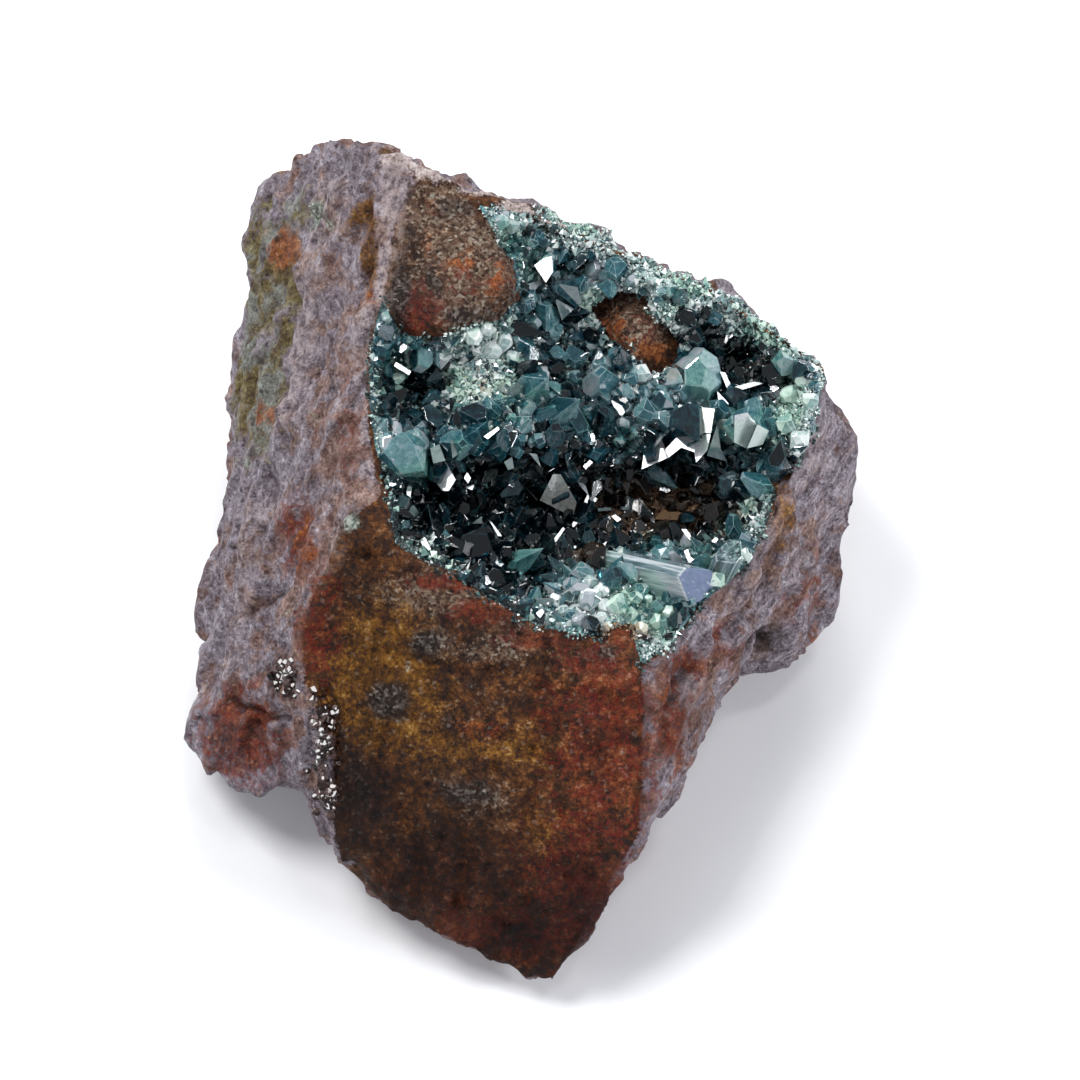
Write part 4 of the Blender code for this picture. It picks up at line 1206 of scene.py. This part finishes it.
def fine_chance(u, v):
    return (0.45 + 0.55 * paleness(u, v)) * (1 - 0.4 * brownness(u, v))


def light_tone(u, v):
    return 0.10 + 0.50 * lightness(u, v)


def deep_tone(u, v):
    return 0.04 + 0.6 * lightness(u, v)


def blade_tone(u, v):
    return np.full(len(u), 0.6)


def pale_tone(u, v):
    return 0.54 + 0.22 * paleness(u, v)


def fine_tone(u, v):
    return 0.12 + 0.45 * paleness(u, v) + 0.2 * lightness(u, v)


def seats_taken(face_shapes, faced):
    """Where no strewn crystal may stand, because a placed one does: (u, v, half width)."""
    taken = [(u, v, width * 0.8) for u, v, width, *_ in LARGE_CRYSTALS]
    for seat, (corners, _, _), (outline, *_) in zip(faced, face_shapes, FACES):
        wide = np.abs(corners[: len(outline), :2]).mean()
        taken.append((*seat[0][:2], max(0.7, 1.5 * wide)))
    return taken + [(*seen(x, y), wide / PICTURE_SCALE) for x, y, wide, _ in LUMPS]


def placed_lumps(draw, maps):
    """The pale rounded crystals that are read off the picture."""
    lumps = []
    for x, y, wide, tone in LUMPS:
        u, v = seen(x, y)
        bed_height = float(maps[0].at(np.array([u]), np.array([v]))[0])
        place = np.array((u, v, bed_height + LUMP_LIFT * wide / PICTURE_SCALE))
        axis = Vector((draw.gauss(0, LUMP_LEAN), draw.gauss(0, LUMP_LEAN), 1)).normalized()
        turn = standing(axis, draw.uniform(0, 6))
        shape = SHAPE_COUNT + draw.randrange(ROUND_COUNT)
        lumps.append((place, turn, wide / PICTURE_SCALE, LUMP_LENGTH, shape, tone))
    return lumps


def build_crystals(maps):
    """The deep and the light clear crystals, the pale ones and the fine druse."""
    plain = crystal_shapes(plain_crystal, SHAPE_COUNT)
    rounded = crystal_shapes(round_crystal, ROUND_COUNT)
    shapes = crystal_shapes(cut_crystal, SHAPE_COUNT) + [column_crystal()] + rounded
    face_shapes, faced = faced_crystals(maps)
    draw = random.Random(CRYSTAL_SEED)
    light, deep, columns = large_seats(draw, maps, shapes)
    taken = seats_taken(face_shapes, faced)
    middling = scatter(draw, MIDDLING, clear_chance, taken)
    small = scatter(draw, SMALL, clear_chance, taken + middling)
    shares = [lightness(*np.array(seats).T[:2]) for seats in (middling, small)]
    chosen = [[draw.random() < 0.05 + 0.9 * share for share in group] for group in shares]
    for kind, seats, is_light in ((MIDDLING, middling, chosen[0]), (SMALL, small, chosen[1])):
        picked = [seat for seat, choice in zip(seats, is_light) if choice]
        others = [seat for seat, choice in zip(seats, is_light) if not choice]
        light += stood_up(draw, maps, kind, picked, light_tone, ROUNDED_SHARE, shapes)
        deep += stood_up(draw, maps, kind, others, deep_tone, 0.0, shapes)
    light += stood_up(draw, maps, BLADES, scatter(draw, BLADES, blade_chance, []), blade_tone)
    lumps = placed_lumps(draw, maps)
    pale = scatter(draw, POWDER, pale_chance, taken)
    fine = scatter(draw, DRUSE, fine_chance, [])
    pale = lumps + stood_up(draw, maps, POWDER, pale, pale_tone)
    fine = stood_up(draw, maps, DRUSE, fine, fine_tone)
    return (
        join_crystals("column_crystals", shapes, columns, COLUMN_SQUEEZE),
        join_crystals("deep_crystals", shapes, deep),
        join_crystals("light_crystals", shapes, light),
        join_crystals("pale_crystals", plain + rounded, pale),
        join_crystals("fine_druse", plain, fine),
        join_crystals("faced_crystals", face_shapes, faced),
    )


# Materials
SCORODITE_IOR = 1.78
FILM_IOR = 1.6
ROCK_SHINE = 0.18
# How the rock's grain runs: turned by some degrees about each axis, and stretched
LEFT_GRAIN = ((60, 8, -18), (1.0, 1.0, 3.2))
RIGHT_GRAIN = ((-86, 0, -30), (0.8, 0.8, 4.5))
# The rock's paints: the pattern that each follows, and its colours as (value, red, green, blue)
ROCK_PAINTS = {
    "sides": (
        "stone", (0.38, 62, 51, 55), (0.45, 108, 96, 103), (0.51, 143, 133, 142),
        (0.57, 176, 168, 178), (0.63, 218, 212, 218),
    ),
    "warm": (
        "stone", (0.36, 60, 42, 38), (0.45, 104, 74, 64),
        (0.52, 142, 108, 94), (0.62, 186, 156, 142),
    ),
    # The painted light of the strip along the top
    "lit_pink": ("stone", (0.40, 120, 96, 88), (0.50, 196, 180, 176), (0.60, 232, 222, 220)),
    "front": (
        "crumb", (0.38, 14, 7, 5), (0.44, 42, 23, 14), (0.50, 78, 45, 23),
        (0.56, 120, 74, 36), (0.62, 172, 124, 78),
    ),
    "golden": (
        "crumb", (0.38, 30, 16, 6), (0.44, 68, 40, 12), (0.50, 108, 68, 20),
        (0.56, 150, 102, 36), (0.62, 200, 160, 90),
    ),
    "bloody": (
        "crumb", (0.38, 26, 10, 7), (0.44, 58, 24, 14), (0.50, 98, 44, 24),
        (0.56, 138, 70, 40), (0.62, 180, 118, 80),
    ),
    "rusty": (
        "crumb", (0.38, 44, 22, 14), (0.46, 104, 52, 26),
        (0.54, 158, 86, 40), (0.64, 204, 140, 84),
    ),
    "mossy": (
        "crumb", (0.38, 32, 25, 14), (0.45, 84, 70, 40), (0.51, 124, 108, 68),
        (0.57, 152, 144, 104), (0.65, 194, 190, 160),
    ),
    "ashen": (
        "crumb", (0.38, 40, 36, 33), (0.45, 88, 84, 78), (0.51, 124, 124, 116),
        (0.57, 152, 156, 148), (0.65, 196, 200, 190),
    ),
    "peppery": (
        "grainy", (0.32, 34, 24, 20), (0.42, 80, 58, 47), (0.51, 112, 88, 72),
        (0.60, 140, 124, 108), (0.70, 180, 174, 158),
    ),
    "greyish": (
        "specks", (0.3, 18, 14, 12), (0.45, 38, 31, 28),
        (0.57, 60, 51, 48), (0.78, 116, 108, 104),
    ),
    "frosty": ("specks", (0.3, 88, 96, 88), (0.5, 138, 152, 142), (0.7, 196, 206, 196)),
}
# Glassy looks: colours by tone, what the inside lets through and how thickly, how clear, rough and rippled,
# how much painted lavender reflection the end takes, and how cloudy
Look = namedtuple(
    "Look",
    "stops inside density clearness roughness ripple end_share cloudiness",
    defaults=(0.006, 0.0, 0.9),
)
# Each ramp's near-white top: a painted highlight on the clear crystals' highest tones, and the pale
# crystals' own colour
CRYSTAL_LOOKS = {
    "striated_scorodite": Look(
        ((0.0, 40, 62, 68), (0.35, 86, 112, 120), (0.6, 138, 160, 166), (0.9, 206, 214, 220)),
        (0.5, 0.8, 0.85, 1), 300, 0.35, 0.10, 0.03, 0.9, 2.2,
    ),
    "deep_scorodite": Look(
        (
            (0.0, 3, 12, 20), (0.2, 14, 44, 60), (0.42, 46, 104, 122),
            (0.65, 116, 170, 182), (0.9, 220, 228, 240),
        ),
        (0.10, 0.62, 0.74, 1), 620, 0.86, 0.025,
    ),
    "light_scorodite": Look(
        ((0.0, 26, 74, 90), (0.3, 74, 134, 148), (0.6, 150, 198, 202), (0.9, 232, 236, 244)),
        (0.30, 0.76, 0.82, 1), 500, 0.62, 0.03,
    ),
    "pale_scorodite": Look(
        (
            (0.0, 20, 40, 46), (0.3, 84, 118, 120), (0.55, 160, 188, 188),
            (0.75, 208, 224, 220), (1.0, 246, 250, 248),
        ),
        (0.6, 0.85, 0.82, 1), 400, 0.30, 0.08,
    ),
    "faced_scorodite": Look(
        (
            (0.0, 4, 16, 24), (0.25, 34, 70, 82), (0.5, 104, 122, 124),
            (0.7, 164, 176, 180), (0.9, 232, 230, 236),
        ),
        (0.3, 0.7, 0.8, 1), 400, 0.30, 0.02, 0.006, 0.0, 0.4,
    ),
}


def linear(red, green, blue):
    """A screen colour, from 0 to 255, as the linear colour that a shader takes."""
    shares = np.array((red, green, blue)) / 255
    bent = np.where(shares <= 0.04045, shares / 12.92, ((shares + 0.055) / 1.055) ** 2.4)
    return (*bent.tolist(), 1.0)


class Surface:
    """A material and short names for the nodes that it is built of."""

    def __init__(self, name):
        self.material = bpy.data.materials.new(name)
        self.material.use_nodes = True
        self.tree = self.material.node_tree
        self.shader = self.tree.nodes["Principled BSDF"]
        self.output = self.tree.nodes["Material Output"]
        self.place = self.tree.nodes.new("ShaderNodeTexCoord").outputs["Object"]

    def node(self, kind, settings=(), **inputs):
        """A new node with its settings, and its inputs by name."""
        made = self.tree.nodes.new("ShaderNode" + kind)
        for name, value in dict(settings).items():
            setattr(made, name, value)
        for name, value in inputs.items():
            self.plug(made.inputs[name.replace("_", " ")], value)
        return made

    def plug(self, socket, value):
        """Links a socket, or sets it to a number or a colour."""
        if isinstance(value, bpy.types.NodeSocket):
            self.tree.links.new(value, socket)
        else:
            socket.default_value = value

    def plug_all(self, made, values):
        """Fills some of a node's inputs, by their numbers or names."""
        for key, value in values.items():
            self.plug(made.inputs[key], value)
        return made.outputs

    def sum(self, operation, first, second=0.0, clamp=False):
        made = self.node("Math", {"operation": operation, "use_clamp": clamp})
        return self.plug_all(made, {0: first, 1: second})[0]

    def off(self, value, middle=0.5):
        """How far a value is above its middle."""
        return self.sum("SUBTRACT", value, middle)

    def stored(self, name):
        return self.node("Attribute", {"attribute_name": name}).outputs["Fac"]

    def noise(self, size, detail, roughness, place=None):
        """Noise with waves of a size in millimetres."""
        made = self.node("TexNoise", Scale=1 / (size * MM), Detail=detail, Roughness=roughness)
        return self.plug_all(made, {"Vector": place or self.place})["Fac"]

    def cells(self, size):
        """The distance and the colour of cells of a size in millimetres."""
        made = self.node("TexVoronoi", Scale=1 / (size * MM))
        outputs = self.plug_all(made, {"Vector": self.place})
        return outputs["Distance"], outputs["Color"]

    def stretched(self, turn, scale):
        """Coordinates turned by some degrees and squeezed, so that a pattern runs one way."""
        turn = tuple(math.radians(angle) for angle in turn)
        made = self.node("Mapping", {"vector_type": "TEXTURE"}, Rotation=turn, Scale=scale)
        return self.plug_all(made, {"Vector": self.place})["Vector"]

    def step(self, value, low, high, floor=0.0, top=1.0):
        """A smooth rise from floor to top, between a low and a high value."""
        made = self.node("MapRange", {"interpolation_type": "SMOOTHSTEP"}, Value=value)
        ends = {"From Min": low, "From Max": high, "To Min": floor, "To Max": top}
        return self.plug_all(made, ends)["Result"]

    def mix(self, share, first, second, blend="MIX"):
        """Two colours mixed by a share."""
        made = self.node("Mix", {"data_type": "RGBA", "blend_type": blend})
        return self.plug_all(made, {0: share, 6: first, 7: second})[2]

    def mix_ways(self, share, first, second):
        """Two sets of coordinates mixed by a share."""
        return self.plug_all(self.node("Mix", {"data_type": "VECTOR"}), {0: share, 4: first, 5: second})[1]

    def bump(self, *layers):
        """Bumps one on another, each (height, depth in millimetres)."""
        normal = None
        for height, depth in layers:
            made = self.node("Bump", Strength=1.0, Distance=depth * MM, Height=height)
            if normal is not None:
                self.plug(made.inputs["Normal"], normal)
            normal = made.outputs["Normal"]
        return normal

    def ramp(self, value, *stops):
        """A colour that changes with a value, through (value, red, green, blue) stops."""
        made = self.tree.nodes.new("ShaderNodeValToRGB")
        elements = made.color_ramp.elements
        while len(elements) < len(stops):
            elements.new(0.5)
        for element, (at, *paint) in zip(elements, stops):
            element.position = at
            element.color = linear(*paint)
        return self.plug_all(made, {"Fac": value})["Color"]

    def blend(self, *parts):
        """The sum of some values, each (value, share)."""
        total = None
        for value, share in parts:
            scaled = self.sum("MULTIPLY", value, share)
            total = scaled if total is None else self.sum("ADD", total, scaled)
        return total

    def finish(self, **inputs):
        """Fills the shader's own inputs by name, and gives the material."""
        for name, value in inputs.items():
            self.plug(self.shader.inputs[name.replace("_", " ")], value)
        return self.material


def rock_surface():
    """Broken iron-oxide rock: mauve-grey and streaked on its sides, ochre, brown and red on its front."""
    s = Surface("rock_surface")
    grain_way = s.mix_ways(s.stored("right"), s.stretched(*LEFT_GRAIN), s.stretched(*RIGHT_GRAIN))
    streaks = s.noise(0.6, 5, 0.70, place=grain_way)
    fine = s.noise(0.42, 4, 0.72)
    broad = s.noise(3.4, 4, 0.6)
    mottle = s.noise(1.3, 5, 0.74)
    grit = s.noise(0.21, 3, 0.72)
    tint = s.noise(2.1, 6, 0.7)
    grain_height, grain_colour = s.cells(0.24)
    each = s.node("SeparateColor", Color=grain_colour).outputs["Red"]
    mauve, ochre, red, dark = (s.stored(name) for name in ("mauve", "ochre", "red", "dark"))

    stone = s.blend((streaks, 0.42), (fine, 0.24), (mottle, 0.06), (grit, 0.18), (broad, 0.10))
    crumb = s.blend((fine, 0.30), (mottle, 0.37), (grit, 0.09), (each, 0.03), (broad, 0.21), (dark, -0.04))
    specks = s.blend((each, 0.5), (grit, 0.5))
    grainy = s.blend((each, 0.30), (fine, 0.40), (grit, 0.30))
    patterns = {"stone": stone, "crumb": crumb, "specks": specks, "grainy": grainy}
    paints = {name: s.ramp(patterns[pattern], *stops) for name, (pattern, *stops) in ROCK_PAINTS.items()}
    blush = s.blend((tint, 1.0), (s.stored("warm"), 0.16), (s.off(s.noise(9.0, 2, 0.55)), 0.16))
    sides = s.mix(s.step(blush, 0.50, 0.66, 0.0, 0.85), paints["sides"], paints["warm"])
    mossy = s.mix(s.step(broad, 0.44, 0.56), paints["mossy"], paints["ashen"])

    def spread(colour, mask, paint, low, high, share=1.0, ragged=1.2):
        """Lays a paint over a colour inside a mask with a ragged edge."""
        edge = (s.off(tint), ragged), (s.off(mottle), 0.7 * ragged), (s.off(grit), 0.8)
        return s.mix(s.step(s.blend((mask, 1.0), *edge), low, high, 0.0, share), colour, paint)

    colour = spread(paints["front"], mauve, sides, 0.30, 0.70, ragged=1.5)
    # Painted highlight along the left ridge's crest and on the raised ridges, mixed towards a pale mauve
    ridge_highlight = s.sum("MULTIPLY", s.stored("ridge_highlight"), s.step(streaks, 0.36, 0.62))
    colour = s.mix(s.sum("MULTIPLY", ridge_highlight, 0.75), colour, linear(190, 170, 164))
    colour = spread(colour, s.stored("knob"), paints["peppery"], 0.30, 0.70, 0.75)
    colour = spread(colour, red, paints["bloody"], 0.32, 0.75, 0.9)
    colour = spread(colour, ochre, paints["golden"], 0.34, 0.80, 0.9)
    off_middle = s.sum("ABSOLUTE", s.off(tint, 0.52))
    veins = s.sum("MULTIPLY", s.step(off_middle, 0.022, 0.004, 0.0, 0.6), s.step(red, 0.08, 0.45))
    colour = s.mix(veins, colour, linear(134, 32, 26))
    colour = spread(colour, dark, paints["greyish"], 0.38, 0.72, 0.9)
    colour = spread(colour, s.stored("olive"), mossy, 0.25, 0.55, 0.95)
    colour = spread(colour, s.stored("rust"), paints["rusty"], 0.40, 0.80, 0.8, 2.2)
    colour = spread(colour, s.stored("green"), paints["frosty"], 0.40, 0.80, 0.75, 2.4)
    # A few pale grains, partly real pale specks and partly painted glints, smoother too; and a few dark
    # grains
    colour = s.mix(s.step(each, 0.95, 0.98, 0.0, 0.12), colour, linear(196, 182, 168))
    colour = s.mix(s.step(each, 0.08, 0.03, 0.0, 0.35), colour, linear(40, 32, 32))
    # Painted light along the top: the lit strip
    colour = spread(colour, s.stored("lit_strip"), paints["lit_pink"], 0.40, 0.75, 0.9, 1.0)
    # Painted shade in the cracks and holes
    colour = s.mix(s.step(s.stored("sunk"), 0.20, 0.75, 0.0, 0.7), colour, linear(104, 74, 52), "MULTIPLY")
    # Painted shade: darker towards the bottom and in a few patches
    colour = s.mix(s.step(s.stored("shade"), 0.1, 0.9, 0.0, 0.85), colour, linear(122, 80, 68), "MULTIPLY")
    # Painted shade: the rock in the vug, under the crust, near black
    colour = s.mix(s.stored("vug"), colour, linear(14, 20, 22))

    wet = s.step(s.blend((s.stored("wet"), 1.0), (s.off(fine), 1.4)), 0.35, 0.5)
    dry = s.step(grit, 0.3, 0.7, 0.42, 0.78)
    smoother = s.sum("SUBTRACT", dry, s.sum("MULTIPLY", wet, 0.62), clamp=True)
    roughness = s.sum("SUBTRACT", smoother, s.step(each, 0.90, 0.94, 0.0, 0.25), clamp=True)
    beads = s.sum("MULTIPLY", wet, s.cells(0.55)[0])
    relief = (streaks, 0.20), (mottle, 0.16), (fine, 0.16), (grit, 0.16), (beads, 0.7), (grain_height, 0.07)
    s.shader.inputs["Specular IOR Level"].default_value = ROCK_SHINE
    return s.finish(Base_Color=colour, Roughness=roughness, Normal=s.bump(*relief))


def bed_surface():
    """The fine dark druse that the larger crystals stand on, pale where it is a powder."""
    s = Surface("bed_surface")
    mottle = s.noise(0.8, 5, 0.65)
    grit = s.noise(0.14, 3, 0.7)
    deep = s.ramp(mottle, (0.35, 2, 7, 10), (0.5, 8, 22, 28), (0.65, 22, 50, 58))
    lit = s.ramp(mottle, (0.35, 16, 50, 62), (0.5, 66, 124, 134), (0.65, 136, 186, 188))
    # The bed is lighter where the crystals are light and darker under the deep ones: partly its colour,
    # partly painted light and painted shade
    colour = s.mix(s.step(s.stored("light"), 0.15, 0.85), deep, lit)
    brown = s.blend((s.stored("brown"), 1.0), (s.off(mottle), 1.4))
    rusty = s.ramp(grit, (0.38, 40, 30, 25), (0.5, 112, 84, 62), (0.6, 172, 132, 96), (0.68, 204, 176, 142))
    colour = s.mix(s.step(brown, 0.40, 0.80, 0.0, 0.95), colour, rusty)
    pale = s.blend((s.stored("pale"), 1.0), (s.off(grit), 1.6))
    powder = s.ramp(grit, (0.36, 30, 52, 52), (0.48, 96, 130, 124), (0.62, 190, 210, 200))
    colour = s.mix(s.step(pale, 0.4, 0.9), colour, powder)
    normal = s.bump((s.cells(0.3)[0], 0.10), (grit, 0.06))
    return s.finish(Base_Color=colour, Roughness=s.step(grit, 0.3, 0.7, 0.16, 0.5), Normal=normal)


def crystal_surface(name, look):
    """Glassy scorodite: see-through, its colour growing with depth, and no two of its faces quite alike."""
    s = Surface(name)
    grain = s.node("Attribute", {"attribute_name": "grain"}).outputs["Vector"]
    cloud = s.noise(0.40, 3, 0.7, place=grain)
    tone = s.blend((s.stored("tone"), 1.0), (s.off(cloud), look.cloudiness))
    s.shader.inputs["IOR"].default_value = SCORODITE_IOR
    s.shader.inputs["Transmission Weight"].default_value = look.clearness
    inside = s.node("VolumeAbsorption", Color=look.inside, Density=look.density)
    s.tree.links.new(inside.outputs["Volume"], s.output.inputs["Volume"])
    # Near white at the top: a painted highlight on the faces of highest tone, save on the pale crystals
    plain = s.ramp(tone, *look.stops)
    greener = s.mix(1.0, plain, linear(234, 255, 240), "MULTIPLY")
    colour = s.mix(s.step(s.noise(4.0, 1, 0.5), 0.45, 0.6), plain, greener)
    # A painted lavender reflection on the blunt end of the wide column
    if look.end_share:
        at_end = s.step(s.stored("end"), 0.4, 0.6, 0.0, look.end_share)
        colour = s.mix(at_end, colour, linear(114, 130, 168))
    rusty = s.ramp(tone, (0.0, 40, 26, 18), (0.3, 110, 76, 50), (0.6, 168, 130, 92), (0.9, 220, 208, 190))
    colour = s.mix(s.step(s.stored("brown"), 0.45, 0.75, 0.0, 0.85), colour, rusty)
    roughness = s.step(cloud, 0.35, 0.75, look.roughness, look.roughness + 0.12)
    ripples = s.bump((s.noise(0.30, 2, 0.6, place=grain), look.ripple))
    return s.finish(Base_Color=colour, Roughness=roughness, Normal=ripples)


def druse_surface():
    """Crystals too fine to see into: their colour varies from one to the next."""
    s = Surface("druse_surface")
    grit = s.noise(0.3, 3, 0.7)
    tone = s.blend((s.stored("tone"), 1.0), (s.off(grit), 0.8))
    stops = (0.0, 8, 16, 18), (0.25, 30, 54, 58), (0.5, 92, 124, 122), (0.7, 156, 184, 176)
    rusty = s.ramp(tone, (0.0, 12, 8, 6), (0.2, 48, 30, 18), (0.4, 112, 74, 42), (0.7, 186, 160, 124))
    green = s.ramp(tone, *stops, (0.9, 226, 236, 230))
    colour = s.mix(s.step(s.stored("brown"), 0.35, 0.65), green, rusty)
    s.shader.inputs["IOR"].default_value = SCORODITE_IOR
    return s.finish(Base_Color=colour, Roughness=s.step(grit, 0.3, 0.7, 0.08, 0.30))


def dress(obj, material):
    """Gives a piece its one material, and sets it to ride with the rock."""
    obj.data.materials.clear()
    obj.data.materials.append(material)
    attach(obj, "root")


# The studio
def aimed(location, target):
    """A place and turn that looks from one point to another."""
    way = (Vector(target) - Vector(location)).normalized()
    return Matrix.Translation(location) @ way.to_track_quat("-Z", "Y").to_matrix().to_4x4()


def add_camera():
    """The camera, square on at the crystals and looking down on the rock."""
    lens = bpy.data.cameras.new("camera")
    lens.angle = 2 * math.atan(VIEW_WIDTH / 2 / EYE_DISTANCE)
    lens.clip_start = NEAREST_SEEN
    camera = in_scene("camera", lens)
    place = LAID_DOWN @ Matrix.Translation((0, VIEW_RISE, EYE_DISTANCE))
    camera.matrix_world = Matrix.LocRotScale(place.translation, place.to_quaternion(), None)
    bpy.context.scene.camera = camera


def add_softbox(name, way, distance, side, radiance, colour):
    """A square soft light, by its way from the vug in the view's axes, and its distance and side."""
    light = bpy.data.lights.new(name, "AREA")
    light.shape = "SQUARE"
    light.size = side * MM
    light.color = colour
    light.energy = radiance * math.pi * (side * MM) ** 2
    middle = LAID_DOWN @ Vector(VUG_MIDDLE)
    towards = (LAID_DOWN.to_3x3() @ Vector(way)).normalized()
    in_scene(name, light).matrix_world = aimed(middle + towards * distance * MM, middle)


def add_studio():
    """A plain pale floor, soft lights and an even pale surround."""
    corners = FLOOR_REACH * np.array([(-1, -1, 0), (1, -1, 0), (1, 1, 0), (-1, 1, 0)])
    floor = new_piece("floor", corners, [(0, 1, 2, 3)])
    s = Surface("floor_paper")
    colour = s.mix(s.noise(9.0, 3, 0.5), linear(240, 240, 242), linear(247, 247, 248))
    floor.data.materials.append(s.finish(Base_Color=colour, Roughness=0.7))
    world = bpy.data.worlds.new("surround")
    world.use_nodes = True
    sky = world.node_tree.nodes["Background"].inputs
    sky["Color"].default_value = SKY_COLOUR
    sky["Strength"].default_value = SKY_STRENGTH
    bpy.context.scene.world = world
    for name, light in LIGHTS.items():
        add_softbox(name + "_light", *light)
    bpy.context.scene.view_settings.view_transform = "Standard"


def main():
    """The studio, the rock with its film, and the crust's pieces, each with its one material."""
    add_camera()
    add_studio()
    rock = build_rock()
    dress(rock, rock_surface())
    film = build_film(rock)
    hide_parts("matrix")
    dress(film, film_surface())
    bed, *maps = build_bed(rock)
    column, deep, light, pale, fine, faced = build_crystals(maps)
    for piece in (bed, column, deep, light, pale, fine, faced):
        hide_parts("scorodite_crust")
    dress(bed, bed_surface())
    for piece, (name, look) in zip((column, deep, light, pale, faced), CRYSTAL_LOOKS.items()):
        dress(piece, crystal_surface(name, look))
    dress(fine, druse_surface())


main()
